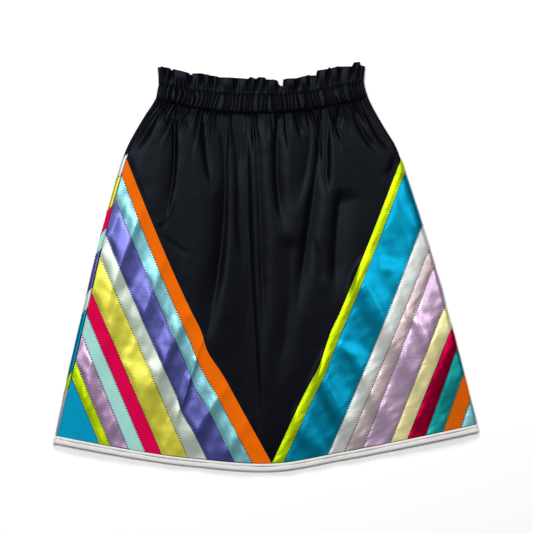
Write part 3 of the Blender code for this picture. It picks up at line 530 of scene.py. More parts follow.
def seam_across(face, edge, y):
    """A side seam as a distance across a face's net: the left one on top, the right one underneath."""
    turned = curve(OUTLINE, "wrap", y)
    inwards = np.where((np.asarray(edge) < 0) == (face == FRONT), turned, -turned)
    return outline_across(face, edge, y) - edge * (inwards + SEAM_GAP / 2)


def over(level, face, across, y):
    """How far a point of a face's net lies over a level line."""
    return y - level(wrap(face, across, y, 0.0)[..., 0])


def inside_fold(face, across, y):
    """1 on the flat part of a face, falling to 0 at the outline."""
    edge = np.where(across < TIP_X, -1.0, 1.0)
    reach, roll = flat_reach(face, edge, y)
    return smooth(((reach - across) * edge + roll) / (roll + 5))


def centre_x(y):
    down = (CASING_BOTTOM.y - y) / (CASING_BOTTOM.y - hem_y(TIP_X))
    return CASING_BOTTOM.x + 5 + (TIP_X - CASING_BOTTOM.x - 5) * down


def way_down(y):
    return np.clip((CASING_BOTTOM.y - y) / (CASING_BOTTOM.y - hem_y(TIP_X)), 0, 1)


def column_x(face, station, y):
    """Where a column of a panel's net runs at a height. Stations go from seam to seam, and columns
    near the middle fan out less than those at the sides."""
    edge = np.where(station < 0, -1.0, 1.0)
    down, share = way_down(y), np.abs(station)
    share = (1 - down) * share ** FAN + down * share
    middle = centre_x(y)
    return middle + (seam_across(face, edge, y) - middle) * share


def casing_share(x, y):
    """Which gather of the casing a point of the front hangs from: its share of the way to the side."""
    edge = np.where(x < centre_x(y), -1.0, 1.0)
    middle = centre_x(y)
    share = np.abs(x - middle) / np.abs(outline_x(edge, y) - middle)
    down = way_down(y)
    place = solve(lambda s: (1 - down) * s ** FAN + down * s - share, np.zeros_like(share), share + 1.0)
    return edge * place ** FAN


# Relief of the front

def bag_reach(bag, x, y):
    """How far inside a pocket bag's edge a point lies."""
    inside_x, inside_y = (x - bag.inner) * bag.side, y - bag.bottom
    corner_x, corner_y = bag.corner - inside_x, bag.corner - inside_y
    round_corner = bag.corner - np.hypot(corner_x, corner_y)
    return np.where((corner_x > 0) & (corner_y > 0), round_corner, np.minimum(inside_x, inside_y))


def fold_relief(fold, x, y):
    """One fold, on the curve through its three points, fading out at both ends."""
    (x0, y0), (x1, y1), (x2, y2) = (at_pixel(*p) for p in (fold.top, fold.mid, fold.end))
    line = (
        x0 * (y - y1) * (y - y2) / ((y0 - y1) * (y0 - y2))
        + x1 * (y - y0) * (y - y2) / ((y1 - y0) * (y1 - y2))
        + x2 * (y - y0) * (y - y1) / ((y2 - y0) * (y2 - y1))
    )
    length = y0 - y2
    fade = smooth((y - y2 + 0.1 * length) / (0.45 * length)) * smooth((y0 + 20 - y) / 26)
    away = x - line
    width = np.where(away < 0, fold.left, fold.right)
    soft = np.exp(-((away / width) ** 2))
    keen = np.exp(-np.abs(away) / (0.45 * width))
    return -fold.depth * fade * (soft * (1 - fold.keen) + keen * fold.keen)


def gather_relief(x, y, depth):
    """Creases that run down from the casing, with rounded cloth between them."""
    drop = arc_y(CASING_BOTTOM, x) - y
    near = drop < 2.2 * GATHER_RUN
    relief = np.zeros_like(x)
    if not near.any():
        return relief
    x, y, drop = x[near], y[near], drop[near]
    share = casing_share(x, y)
    width = np.abs(outline_x(np.where(share < 0, -1.0, 1.0), y) - centre_x(y))
    part = np.zeros_like(x)
    for number, gather in enumerate(GATHERS):
        start = at_pixel(gather.x, 0)[0] - centre_x(CASING_BOTTOM.y)
        column = "left" if start < 0 else "right"
        side = curve(OUTLINE, column, CASING_BOTTOM.y + 14) - centre_x(CASING_BOTTOM.y)
        lean = 1.6 * np.sin(drop / 23 + number)
        away = (share - start / abs(side)) * width + lean * smooth(drop / 30)
        fade = 1 - smooth(drop / gather.run)
        spread = 1.1 + drop / 26
        part -= 1.5 * gather.depth * fade * np.exp(-np.abs(away) / spread)
        part += 0.8 * gather.depth * fade * np.exp(-((away - 2.8 - drop / 26) / (1.7 + drop / 30)) ** 2)
    relief[near] = part
    return relief * depth


def front_relief(x, y, depth):
    """How far the front's cloth stands out from the plain tube at a point of its net."""
    side = np.where(x < TIP_X, -1.0, 1.0)
    v_edge = np.where(x < TIP_X, edge_x(FRONT, LEFT, -1, y), edge_x(FRONT, RIGHT, -1, y))
    on_ribbons = smooth((x - v_edge) * side / 14 + 0.6)
    relief = gather_relief(x, y, depth)
    for fold in FOLDS:
        relief += fold_relief(fold, x, y) * (on_ribbons if fold.depth < 0 else 1.0)
    for bag in BAGS:
        plain = smooth((edge_x(FRONT, bag.side, -1, y) - x) * bag.side / 12)
        relief += bag.step * plain * smooth(bag_reach(bag, x, y) / BAG_STEP_WIDTH + 0.5)
    relief += 0.35 * mottle(x / 34, y / 60, 5) + 0.14 * mottle(x / 11, y / 15, 9)
    steep = x * -side * 0.9 - y * 0.45
    relief += 0.8 * mottle(steep / 16, (x * side + y) / 60, 21) * smooth((x - v_edge) * side / 25)
    lowest = CLOTH_LOWEST + WAIST_ROOM * (1 - smooth((arc_y(CASING_BOTTOM, x) - y) / 105))
    for bag in BAGS:
        lowest = np.maximum(lowest, CLOTH_LOWEST + BAG_ROOM * smooth((bag_reach(bag, x, y) + 14) / 10))
    relief = np.maximum(relief, lowest - front_height(x, y))
    return relief * inside_fold(FRONT, x, y)


def back_relief(x, y):
    """The back lies on the floor, so its gathers and creases only rise from it. Its creases are the
    front's, turned round and shallow, and they end at its ribbons."""
    drop = arc_y(CASING_BOTTOM, x) - y
    gathers = np.abs(np.sin(x / 3.1 + 0.8 * np.sin(x / 17))) ** 3
    creases = sum(fold_relief(fold, 2 * TIP_X - x, y) for fold in FOLDS if fold.depth > 0)
    to_ribbons = np.where(x < TIP_X, x - edge_x(BACK, LEFT, -1, y), edge_x(BACK, RIGHT, -1, y) - x)
    creases *= smooth(to_ribbons / 14)
    relief = np.maximum(BACK_CREASES * creases, -1.0) - 0.3 * (0.5 + 0.5 * mottle(x / 34, y / 60, 15))
    relief = np.minimum(relief, -WAIST_GATHERS_BACK * gathers * (1 - smooth(drop / 60)))
    return relief * inside_fold(BACK, x, y)


def pushed(x, y):
    """x as the folds push it, for the front's net."""
    for push in PUSHES:
        at_x, at_y = at_pixel(push.x, push.y)
        x = x + push.by * PIXEL * np.exp(
            -((x - at_x) / (push.wide * PIXEL)) ** 2 - ((y - at_y) / (push.tall * PIXEL)) ** 2
        )
    return x


def relief_at(face, x, y, depth):
    return front_relief(x, y, depth) if face == FRONT else back_relief(x, y)


# Nets and walls

Cloth = namedtuple("Cloth", "across y inner outer u v")


def unit_wall(columns, rows):
    """A closed wall over the unit square, 1 thick, as a mesh."""
    bm = bmesh.new()
    bmesh.ops.create_grid(bm, x_segments=columns, y_segments=rows, size=0.5)
    bmesh.ops.translate(bm, verts=bm.verts[:], vec=(0.5, 0.5, 0))
    skin = bmesh.ops.extrude_face_region(bm, geom=bm.faces[:])["geom"]
    raised = [v for v in skin if isinstance(v, bmesh.types.BMVert)]
    bmesh.ops.translate(bm, verts=raised, vec=(0, 0, 1))
    mesh = bpy.data.meshes.new("wall")
    bm.to_mesh(mesh)
    bm.free()
    return mesh


def add_cloth(name, face, columns, rows, shape, finish, nodes):
    """A closed piece of cloth. shape takes the shares along columns and rows and gives its net."""
    mesh = unit_wall(columns, rows)
    unit = np.empty(len(mesh.vertices) * 3)
    mesh.vertices.foreach_get("co", unit)
    s, t, side = unit.reshape(-1, 3).T
    cloth = shape(s, t)
    lift = np.where(side > 0.5, cloth.outer, cloth.inner)
    places = (wrap(face, cloth.across, cloth.y, lift) + ORIGIN_SHIFT) * METRES
    mesh.vertices.foreach_set("co", places.ravel())
    corners = np.empty(len(mesh.loops), dtype=np.int32)
    mesh.loops.foreach_get("vertex_index", corners)
    uv = np.stack([cloth.u, cloth.v], axis=-1)[corners] * METRES
    mesh.uv_layers.new(name="cloth").data.foreach_set("uv", uv.ravel())
    bm = bmesh.new()
    bm.from_mesh(mesh)
    bmesh.ops.recalc_face_normals(bm, faces=bm.faces[:])
    bm.to_mesh(mesh)
    bm.free()
    mesh.update()
    return add_piece(name, mesh, finish, nodes)


def add_piece(name, mesh, finish, nodes):
    """A finished mesh as a piece of the skirt, in place of CAD nodes."""
    mesh.name = name
    mesh.shade_smooth()
    mesh.materials.append(finish_called(finish))
    piece = bpy.data.objects.new(name, mesh)
    bpy.context.scene.collection.objects.link(piece)
    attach(piece, "root")
    if nodes:
        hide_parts(*nodes)
    return piece


def cloth_area(piece):
    """Area of one side of a thin closed piece."""
    return sum(polygon.area for polygon in piece.data.polygons) / 2


def declare_sheet(piece, width, length, rests_on):
    """Works out the area of one side of a piece, at most the width times the length that its cloth is
    cut from; the result is not kept.
    """
    area = min(cloth_area(piece), width * length)


def panel_ends(face, station):
    """Heights at which a panel's columns meet the casing and the hem."""
    none = np.zeros_like(station)

    def above(line, y):
        return over(line, face, column_x(face, station, y), y)

    casing = solve(
        lambda y: above(lambda x: arc_y(CASING_BOTTOM, x), y) - CASING_OVERLAP, none + 100, none + 300
    )
    hem = solve(lambda y: above(hem_y, y) - HEM_OVERLAP, none - 330, none)
    return casing, hem


def panel_shape(face, depth):
    """A panel from the casing to the hem."""
    def shape(s, t):
        station = 2 * s - 1
        station = np.sign(station) * np.abs(station) ** 1.25
        casing, hem = by_column(lambda each: panel_ends(face, each), station)
        down = 0.55 * t + 0.45 * t ** 2.2
        y = casing + (hem - casing) * down
        x = column_x(face, station, y)
        relief = relief_at(face, x, y, depth)
        if face == FRONT:
            x = pushed(x, y)
        return Cloth(x, y, relief - PANEL_WALL, relief, x, y)
    return shape


@lru_cache(maxsize=None)
def edge_line(face, side, number):
    """The lower edge of a ribbon, as its start at the side and its foot at the hem."""
    edge = CHEVRONS[face, side] if number < 0 else CHEVRONS[face, side].ribbons[number]
    starts_at = seam_across if side == LEFT else outline_across
    return edge, starts_at(face, float(side), edge.side_y), hem_y(edge.hem_x)


@lru_cache(maxsize=None)
def corner_step(face, side):
    """How far the corner of the seam and the hem lies from the last sewn edge."""
    corner = solve(
        lambda at: over(hem_y, face, seam_across(face, float(side), at), at),
        np.array(-330.0), np.array(-150.0),
    )
    last = len(CHEVRONS[face, side].ribbons) - 2
    return seam_across(face, float(side), corner) - edge_x(face, side, last, corner)


def edge_x(face, side, number, y):
    """Where the lower edge of a ribbon runs at a height. Number -1 is the chevron's own edge, and
    the last one passes through the corner of the seam and the hem."""
    if number == len(CHEVRONS[face, side].ribbons) - 1:
        return edge_x(face, side, number - 1, y) + corner_step(face, side) * 0.985
    edge, start, foot = edge_line(face, side, number)
    up = (y - foot) / (edge.side_y - foot)
    bow = edge.bow * np.sin(math.pi * np.clip(up, 0, 1))
    return edge.hem_x + (start - edge.hem_x) * up + side * bow


def line_x(face, side, number, share, y):
    """Where a line between a ribbon's two edges runs at a height, by its share of the way across."""
    upper = edge_x(face, side, number - 1, y)
    return upper + (edge_x(face, side, number, y) - upper) * share


def edge_ends(face, side, number, share):
    """Heights at which such a line meets the seam and the hem."""
    none = np.zeros_like(share)
    top = solve(
        lambda y: (seam_across(face, float(side), y) - line_x(face, side, number, share, y)) * side,
        none - 320, none + 210,
    )
    foot = solve(
        lambda y: over(hem_y, face, line_x(face, side, number, share, y), y) - 0.3,
        none - 330, none + 60,
    )
    return top, foot


def ribbon_shape(face, side, number, thickness, pucker, depth):
    """A ribbon between its two edges, from the side seam to the hem."""
    seed = number * 7 + (3 if side == LEFT else 5) + (11 if face == BACK else 0)

    def shape(s, t):
        share = (0.5 - 0.5 * np.cos(math.pi * s)) * (1 + OVERLAP) - OVERLAP / 2
        top, foot = by_column(lambda each: edge_ends(face, side, number, each), share)
        y = top + (foot - top) * t
        x = line_x(face, side, number, share, y)
        width = np.abs(edge_x(face, side, number, y) - edge_x(face, side, number - 1, y)) * RIBBON_ACROSS
        relief = relief_at(face, x, y, depth)
        if face == FRONT:
            x = pushed(x, y)
        along = -y * RIBBON_ALONG * side
        from_edge = np.maximum(np.minimum(share, 1 - share), 0) * width
        near_edge = np.exp(-from_edge / 6.0)
        upper = ripple(along / 4.6 + 0.3 * from_edge, seed)
        lower = ripple(along / 5.1 - 0.3 * from_edge, seed + 1)
        gathers = np.where(share < 0.5, upper, lower)
        strong = smooth(ripple(along / 24, seed + 0.5) * 0.9 + 0.5)
        wrinkle = mottle(along / 12 + share * 1.5, share * width / 13, seed)
        swell = mottle(along / 31, share * width / 30 + 2, seed + 4)
        raised = pucker * smooth(from_edge / 3.5) * (
            0.75 * (0.5 + 0.5 * gathers) * near_edge * strong
            + 0.3 * (1 + wrinkle) * smooth(from_edge / 5) + 0.6 * (1 + swell) * smooth(from_edge / 9)
        )
        if face == BACK:
            raised = BACK_PUCKER * np.tanh(raised)
        outer = relief + 0.15 + thickness - 0.06 * (number % 2) + raised
        return Cloth(x, y, relief + 0.12 + raised * 0.9, outer, along, share * width)
    return shape


def binding_shape(face, width, bulk):
    """The folded tape along the hem: a stitched groove near its upper edge and a rounded lower one."""
    def shape(s, t):
        station = 2 * s - 1
        hem = by_column(lambda each: panel_ends(face, each), station)[1] - HEM_OVERLAP
        y = hem - 0.2 - width * t
        x = column_x(face, station, y)
        relief = relief_at(face, x, hem + 1.0, 1.0)
        down = width * t
        round_edge = np.sqrt(1 - ((down - width + TAPE_ROUND) / TAPE_ROUND).clip(0, 1) ** 2)
        groove = 0.45 * np.exp(-((down - TAPE_STITCH) / 0.7) ** 2)
        upper = 0.6 * np.exp(-down / 0.5)
        wave = 0.22 * mottle(x / 7, t * 1.4, 3) + 0.3 * ripple(x / 31, 8)
        outer = relief + 0.25 + (bulk * 0.62 + wave) * round_edge - groove - upper
        inner = relief + 0.1 - bulk * 0.38 * round_edge
        return Cloth(x, y, np.minimum(inner, outer - 0.25), outer, x, down)
    return shape


def waist_x(face, share, y):
    """A place between the side seams at a height, by its share of the way across."""
    left, right = seam_across(face, -1.0, y), seam_across(face, 1.0, y)
    return left + (right - left) * share


def arc_height(face, arc, share):
    """Where an arc of the waist crosses the line at a share of the way across."""
    return solve(
        lambda y: over(lambda x: arc_y(arc, x), face, waist_x(face, share, y), y),
        np.full_like(share, 150.0), np.full_like(share, 330.0),
    )


def puffs(share, count, seed, bend):
    """Uneven gathers on elastic: 0 in their creases and 1 on their crowns."""
    place = share * count + 0.55 * ripple(share * count * 0.6, seed) + bend
    cell = np.floor(place)
    t = place - cell
    full = 0.5 + 0.5 * chance(cell, seed + 2)
    return full * (1 - np.abs(2 * t - 1) ** 3.6) * (0.78 + 0.4 * t)


def casing_shape(face, depth):
    """The elastic casing, puffed between its two rows of stitching."""
    def shape(s, t):
        low, high = by_column(
            lambda each: [arc_height(face, arc, each) for arc in (CASING_BOTTOM, CASING_TOP)], s
        )
        uneven = 0.7 * ripple(s * CASING_GATHERS[face] * 0.8, 12) * (1 - t)
        y = low + 0.2 + uneven + (high - low - 0.4) * t
        x = waist_x(face, s, y)
        bow = np.sin(math.pi * t)
        bend = 0.35 * ripple(s * 23 + 0.5 * t, 4) * bow + 0.3 * ripple(s * 31 - 0.9 * t, 6)
        crown = puffs(s, CASING_GATHERS[face], 1.0, bend)
        from_edge = np.minimum(t, 1 - t) * 28
        full = 0.5 + 0.5 * smooth(from_edge / 4.5)
        relief = (crown * full - 0.5) * 4.6 * depth + 0.9 * bow
        relief -= 0.5 * np.exp(-((from_edge - 1.4) / 0.8) ** 2)
        if face == BACK:
            relief = np.minimum(relief - 1.2, 0) * 0.6
        relief = np.where(relief > 0, relief * inside_fold(face, x, y), relief)
        return Cloth(x, y, np.full_like(s, CASING_INSIDE), np.maximum(relief, CASING_LOWEST), x, y)
    return shape


def ruffle_shape(face, depth):
    """The frill above the casing: gathers at its foot that open into wide lobes at its top edge."""
    tops = np.array([at_pixel(*row) for row in RUFFLE_EDGE])
    rights = np.array([at_pixel(lobe.right, 0)[0] for lobe in LOBES])
    stands = np.array([lobe.stand for lobe in LOBES])

    def shape(s, t):
        low = by_column(lambda each: [arc_height(face, CASING_TOP, each)], s)[0] - FRILL_OVERLAP
        x_top = waist_x(face, s, low + 25)
        if face == FRONT:
            top = np.interp(x_top, tops[:, 0], tops[:, 1])
            leaning = x_top + 3.2 * ripple(x_top / 26, 9) * (1 - t)
            lobe = np.clip(np.searchsorted(rights, leaning), 0, len(rights) - 1)
            left = np.where(lobe > 0, rights[np.maximum(lobe - 1, 0)], FRILL_LEFT)
            place = np.clip((leaning - left) / (rights[lobe] - left), 0, 1)
            crown = (1 - np.abs(2 * place - 0.9).clip(0, 1) ** 2.4) ** 0.8
            width = rights[lobe] - left
            lobes = stands[lobe] * (0.35 * crown + 0.75 * smooth(place * 0.9)) - 0.8
            lobes -= stands[lobe] * 1.35 * np.exp(-(1 - place) * width / 2.2)
            lobes -= 1.6 * np.exp(-place * width / 1.8)
            fine = 0.5 * ripple(x_top / 5.3, 6)
        else:
            top = arc_y(RUFFLE_TOP, x_top) - 3 + 1.6 * ripple(s * 26, 4)
            top = top - 11 * np.exp(-(((x_top - at_pixel(FRILL_NOTCH, 0)[0]) / 6) ** 4))
            lobes = -3.0 * (0.5 + 0.5 * np.sin(s * 88 + 2 * np.sin(s * 31))) ** 3
            fine = np.zeros_like(s)
        y = low + (top - low) * t
        x = waist_x(face, s, y)
        gathers = (puffs(s, CASING_GATHERS[face], 1.0, 0) - 0.7) * 1.8 * depth
        if face == BACK:
            gathers = np.minimum(gathers, 0)
        open_out = smooth(t * 1.25)
        relief = gathers * (1 - open_out) + lobes * open_out + fine * open_out * (1 - 0.4 * t)
        relief -= 0.9 * np.exp(-((t * 30 - 1.5) / 1.0) ** 2)
        relief = np.where(relief > 0, relief * inside_fold(face, x, y), relief)
        if face == BACK:
            relief = np.minimum(relief, 0)
        return Cloth(x, y, relief - FRILL_WALL, relief, x, y)
    return shape


# Stitching

def thread_rods(name, runs, radius, finish):
    """Straight stitches as short rods between the pairs of points in each run."""
    whole = bmesh.new()
    mesh = bpy.data.meshes.new(name)
    for starts, ends in runs:
        run = bmesh.new()
        for start, end in zip(starts, ends):
            start, end = Vector(start), Vector(end)
            along = end - start
            turn = along.to_track_quat("Z", "Y").to_matrix().to_4x4()
            bmesh.ops.create_cone(
                run, cap_ends=True, segments=5, radius1=radius, radius2=radius, depth=along.length,
                matrix=Matrix.Translation((start + end) / 2) @ turn,
            )
        run.to_mesh(mesh)
        run.free()
        whole.from_mesh(mesh)
    whole.to_mesh(mesh)
    whole.free()
    return add_piece(name, mesh, finish, ())


def on_tube(face, x, y, lift):
    """Points on the dressed cloth, in metres."""
    relief = relief_at(face, x, y, 1.0)
    if face == FRONT:
        x = pushed(x, y)
    places = wrap(face, x, y, relief + lift) + ORIGIN_SHIFT
    places[:, 2] = np.maximum(places[:, 2], THREAD_FLOOR)
    return places * METRES


def edge_stitches(face, side, number, pitch, swing, lift):
    """Slanted stitches over the lower edge of a ribbon."""
    top, foot = (float(end[0]) for end in edge_ends(face, side, number, np.array([1.0])))
    count = int((top - foot) * RIBBON_ALONG / pitch)
    y = np.linspace(top - 0.5, foot + 0.8, count)
    x = line_x(face, side, number, 1.0, y)
    return on_tube(face, x - swing, y - 0.3, lift), on_tube(face, x + swing, y + 0.3, lift)


# Materials

class Signal:
    """A value in a material's nodes; arithmetic on it adds Math nodes."""

    def __init__(self, recipe, outputs, number=0):
        self.recipe, self.outputs, self.number = recipe, outputs, number

    def output(self, number):
        """Another output of the same node."""
        return Signal(self.recipe, self.outputs, number)

    def _math(self, operation, first, second):
        return self.recipe.node("ShaderNodeMath", {"operation": operation}, {0: first, 1: second})

    def __add__(self, other):
        return self._math("ADD", self, other)

    def __sub__(self, other):
        return self._math("SUBTRACT", self, other)

    def __rsub__(self, other):
        return self._math("SUBTRACT", other, self)

    def __mul__(self, other):
        return self._math("MULTIPLY", self, other)

    def sine(self):
        return self._math("SINE", self, 0.0)

    __radd__ = __add__
    __rmul__ = __mul__


def finish_called(name):
    """A finished material by its short name. The frame's plain ones have the short names."""
    return bpy.data.materials[f"dressed {name}"]


class Recipe:
    """A material under construction."""

    def __init__(self, name):
        self.material = bpy.data.materials.new(f"dressed {name}")
        self.material.use_nodes = True
        self.tree = self.material.node_tree
        self.tree.nodes.clear()

    def node(self, kind, settings, inputs, output=0):
        """Adds a node: its settings first, then the values or links of its sockets."""
        made = self.tree.nodes.new(kind)
        for key, value in settings.items():
            if key == "stops":
                ramp = made.color_ramp
                for place, shade in value[2:]:
                    ramp.elements.new(place)
                for element, (place, shade) in zip(ramp.elements, value):
                    element.position, element.color = place, (*shade, 1)
            else:
                setattr(made, key, value)
        for key, value in inputs.items():
            if isinstance(value, Signal):
                self.tree.links.new(value.outputs[value.number], made.inputs[key])
            else:
                made.inputs[key].default_value = value
        return Signal(self, made.outputs, output)

    def noise(self, place, scale, detail=3.0, stretch=(1, 1, 1)):
        """Smooth noise over the cloth, from 0 to 1."""
        mapped = self.node("ShaderNodeMapping", {}, {"Vector": place, "Scale": stretch})
        return self.node("ShaderNodeTexNoise", {}, {"Vector": mapped, "Scale": scale, "Detail": detail})

    def mix(self, share, low, high):
        """A colour between two others."""
        return self.node(
            "ShaderNodeMix", {"data_type": "RGBA"}, {"Factor": share, 6: low, 7: high}, output=2
        )

    def bump(self, height, distance, strength=1.0, normal=None):
        """Low relief in a material, on top of another where one is given."""
        inputs = {"Height": height, "Distance": distance, "Strength": strength}
        if normal:
            inputs["Normal"] = normal
        return self.node("ShaderNodeBump", {}, inputs)

    def finish(self, inputs):
        """Ends the recipe with its shader."""
        surface = self.node("ShaderNodeBsdfPrincipled", {}, inputs)
        self.node("ShaderNodeOutputMaterial", {}, {"Surface": surface})
        return self.material


def shade(colour, by):
    """A colour made lighter or darker."""
    return (*(min(channel * by, 1.0) for channel in colour), 1)


def cloth_place(recipe):
    """The cloth's own map, and its two directions apart."""
    place = recipe.node("ShaderNodeUVMap", {"uv_map": "cloth"}, {})
    parts = recipe.node("ShaderNodeSeparateXYZ", {}, {"Vector": place})
    return place, parts.output(0), parts.output(1)


def taffeta(name, colour):
    """Crisp dark cloth with a fine crosswise rib and a dull sheen."""
    recipe = Recipe(name)
    place, u, v = cloth_place(recipe)
    rib = (v * 9000.0).sine() * 0.5 + 0.5
    yarn = (u * 14000.0).sine() * 0.5 + 0.5
    cloudy = recipe.noise(place, 28.0, 3.0)
    slub = recipe.noise(place, 900.0, 2.0, (0.12, 1, 1))
    crinkle = recipe.noise(place, 95.0, 4.0, (1.0, 0.55, 1))
    tone = recipe.mix(cloudy * 0.75 + slub * 0.25, shade(colour, 0.72), shade(colour, 1.35))
    base = recipe.mix(rib * 0.22, tone, shade(colour, 2.1))
    weave = recipe.bump(rib * 0.6 + yarn * 0.4, 0.00004, 0.3)
    normal = recipe.bump(crinkle, 0.0009, 0.12, weave)
    return recipe.finish({
        "Base Color": base,
        "Roughness": cloudy * 0.08 + 0.34,
        "Specular IOR Level": 0.075,
        "Specular Tint": (0.72, 0.82, 1.0, 1),
        "Normal": normal,
    })


def satin(name, colour, weave):
    """Satin, or ribbed matte ribbon: threads along it, small crinkles and an uneven sheen."""
    recipe = Recipe(name)
    place, u, _ = cloth_place(recipe)
    cloudy = recipe.noise(place, 46.0, 3.0, (0.7, 1.4, 1))
    thread = recipe.noise(place, 1500.0, 1.0, (0.06, 1, 1))
    tone = recipe.mix(cloudy, shade(colour, 0.84), shade(colour, 1.14))
    base = recipe.mix(thread * 0.35, tone, shade(colour, 0.8))
    if weave.ribbed:
        rib = (u * 6500.0).sine() * 0.5 + 0.5
        surface = recipe.bump(rib, 0.00007, 0.7)
        crinkle = recipe.noise(place, 60.0, 2.0)
        normal = recipe.bump(crinkle, 0.0005, 0.4, surface)
    else:
        surface = recipe.bump(thread, 0.00003, 0.35)
        crinkle = recipe.noise(place, 75.0, 3.0, (1.0, 0.6, 1))
        normal = recipe.bump(crinkle, 0.0008, 0.35 * weave.pucker, surface)
    return recipe.finish({
        "Base Color": base,
        "Roughness": cloudy * 0.08 + (weave.rough - 0.04),
        "Metallic": weave.metal,
        "Coat Weight": weave.gloss,
        "Coat Roughness": 0.3,
        "Specular IOR Level": weave.gloss + 0.03,
        "Normal": normal,
    })


def tape(name, colour):
    """Silver-white satin tape with a fine rib and faint pink and green tints."""
    recipe = Recipe(name)
    place, u, _ = cloth_place(recipe)
    tint = recipe.noise(place, 38.0, 2.0)
    hue = recipe.node(
        "ShaderNodeValToRGB",
        {"stops": ((0.25, (0.68, 0.60, 0.60)), (0.75, (0.62, 0.67, 0.62)), (0.5, tuple(colour)))},
        {"Fac": tint},
    )
    rib = (u * 5200.0).sine() * 0.5 + 0.5
    base = recipe.mix(rib * 0.18, hue, shade(colour, 0.78))
    crinkle = recipe.noise(place, 240.0, 3.0)
    normal = recipe.bump(crinkle, 0.0005, 0.5, recipe.bump(rib, 0.00005, 0.6))
    return recipe.finish({
        "Base Color": base,
        "Roughness": tint * 0.1 + 0.36,
        "Sheen Weight": 0.1,
        "Normal": normal,
    })


def twist(name, colour):
    """Sewing thread."""
    recipe = Recipe(name)
    place = recipe.node("ShaderNodeTexCoord", {}, {}, output=3)
    fibre = recipe.noise(place, 2600.0, 2.0)
    base = recipe.mix(fibre, shade(colour, 0.6), shade(colour, 1.5))
    return recipe.finish({
        "Base Color": base,
        "Roughness": fibre * 0.2 + 0.45,
        "Normal": recipe.bump(fibre, 0.0001, 0.6),
    })


def paper(name, colour):
    """The seamless pale floor of a studio."""
    recipe = Recipe(name)
    place = recipe.node("ShaderNodeTexCoord", {}, {}, output=3)
    grain = recipe.noise(place, 9.0, 2.0)
    base = recipe.mix(grain, shade(colour, 0.995), shade(colour, 1.0))
    return recipe.finish({"Base Color": base, "Roughness": grain * 0.05 + 0.85})


# Settings

def colour_setting(name, default):
    return bpy.props.FloatVectorProperty(
        name=name, description=f"Colour of the {name.lower()}", subtype="COLOR", size=3,
        min=0, max=1, default=default,
    )


def length_setting(name, description, default):
    return bpy.props.FloatProperty(
        name=name, description=description, default=default, min=0.00005, max=0.02,
        subtype="DISTANCE", unit="LENGTH", precision=5,
    )


class RibbonSkirtColours(bpy.types.PropertyGroup):
    """Colours of the cloth, ribbons, thread and floor"""

    taffeta: colour_setting("Taffeta", (0.0006, 0.0008, 0.0019))
    binding: colour_setting("Hem binding", (0.63, 0.63, 0.62))
    thread: colour_setting("Ribbon thread", (0.014, 0.011, 0.02))
    grey_thread: colour_setting("Hem thread", (0.20, 0.17, 0.20))
    orange: colour_setting("Orange ribbon", (0.7, 0.118, 0.0))
    # Painted shade: the orange colour darkened for the right side, which turns from the light
    amber: colour_setting("Darker orange ribbon", (0.55, 0.094, 0.001))
    aqua: colour_setting("Aqua ribbon", (0.13, 0.36, 0.4))
    periwinkle: colour_setting("Periwinkle ribbon", (0.054, 0.060, 0.245))
    sage: colour_setting("Sage ribbon", (0.38, 0.44, 0.37))
    silver: colour_setting("Silver ribbon", (0.49, 0.52, 0.495))
    gold: colour_setting("Golden yellow ribbon", (0.50, 0.48, 0.035))
    crimson: colour_setting("Crimson ribbon", (0.57, 0.0, 0.055))
    ruby: colour_setting("Ruby ribbon", (0.33, 0.0, 0.03))
    mint: colour_setting("Mint ribbon", (0.31, 0.585, 0.54))
    lilac: colour_setting("Lilac ribbon", (0.35, 0.225, 0.365))
    # Painted light: the lilac colour lightened for the right side, which turns from the light
    orchid: colour_setting("Lighter lilac ribbon", (0.45, 0.315, 0.455))
    lime: colour_setting("Lime ribbon", (0.38, 0.54, 0.003))
    blue: colour_setting("Blue ribbon", (0.002, 0.215, 0.355))
    blue_matte: colour_setting("Matte blue ribbon", (0.0, 0.25, 0.43))
    pink: colour_setting("Pale pink ribbon", (0.42, 0.335, 0.345))
    straw: colour_setting("Pale yellow ribbon", (0.68, 0.62, 0.3))
    teal: colour_setting("Teal ribbon", (0.006, 0.24, 0.24))
    floor: colour_setting("Floor", (0.93, 0.93, 0.93))


class RibbonSkirtSizes(bpy.types.PropertyGroup):
    """Sizes of the sewn details"""

    ribbon: length_setting("Ribbon thickness", "How far a ribbon stands off the panel", 0.0005)
    binding: length_setting("Binding bulk", "Thickness of the folded hem tape", 0.0024)
    thread: length_setting("Thread radius", "Radius of the sewing thread", 0.00072)
    stitch: length_setting("Stitch pitch", "Distance between the stitches along a ribbon's edge", 0.0039)
    swing: length_setting("Stitch reach", "How far a stitch reaches to each side of an edge", 0.0010)
    pucker: bpy.props.FloatProperty(
        name="Pucker", description="Height of the puckers in the satin, in millimetres",
        default=0.8, min=0, max=3,
    )
    gathers: bpy.props.FloatProperty(
        name="Gathers", description="Depth of the waist's gathers against the photographed skirt's",
        default=1.0, min=0, max=1.5,
    )


# Pieces, one operator each

class SKIRT_OT_finishes(bpy.types.Operator):
    """Make the cloth, ribbon, thread and floor materials"""

    bl_idname = "ribbon_skirt.finishes"
    bl_label = "Finishes"

    def execute(self, context):
        colours = context.scene.ribbon_skirt_colours
        taffeta("taffeta", colours.taffeta)
        tape("binding", colours.binding)
        twist("thread", colours.thread)
        twist("grey_thread", colours.grey_thread)
        paper("floor", colours.floor)
        for name, weave in WEAVES.items():
            satin(name, getattr(colours, name), weave)
        return {"FINISHED"}


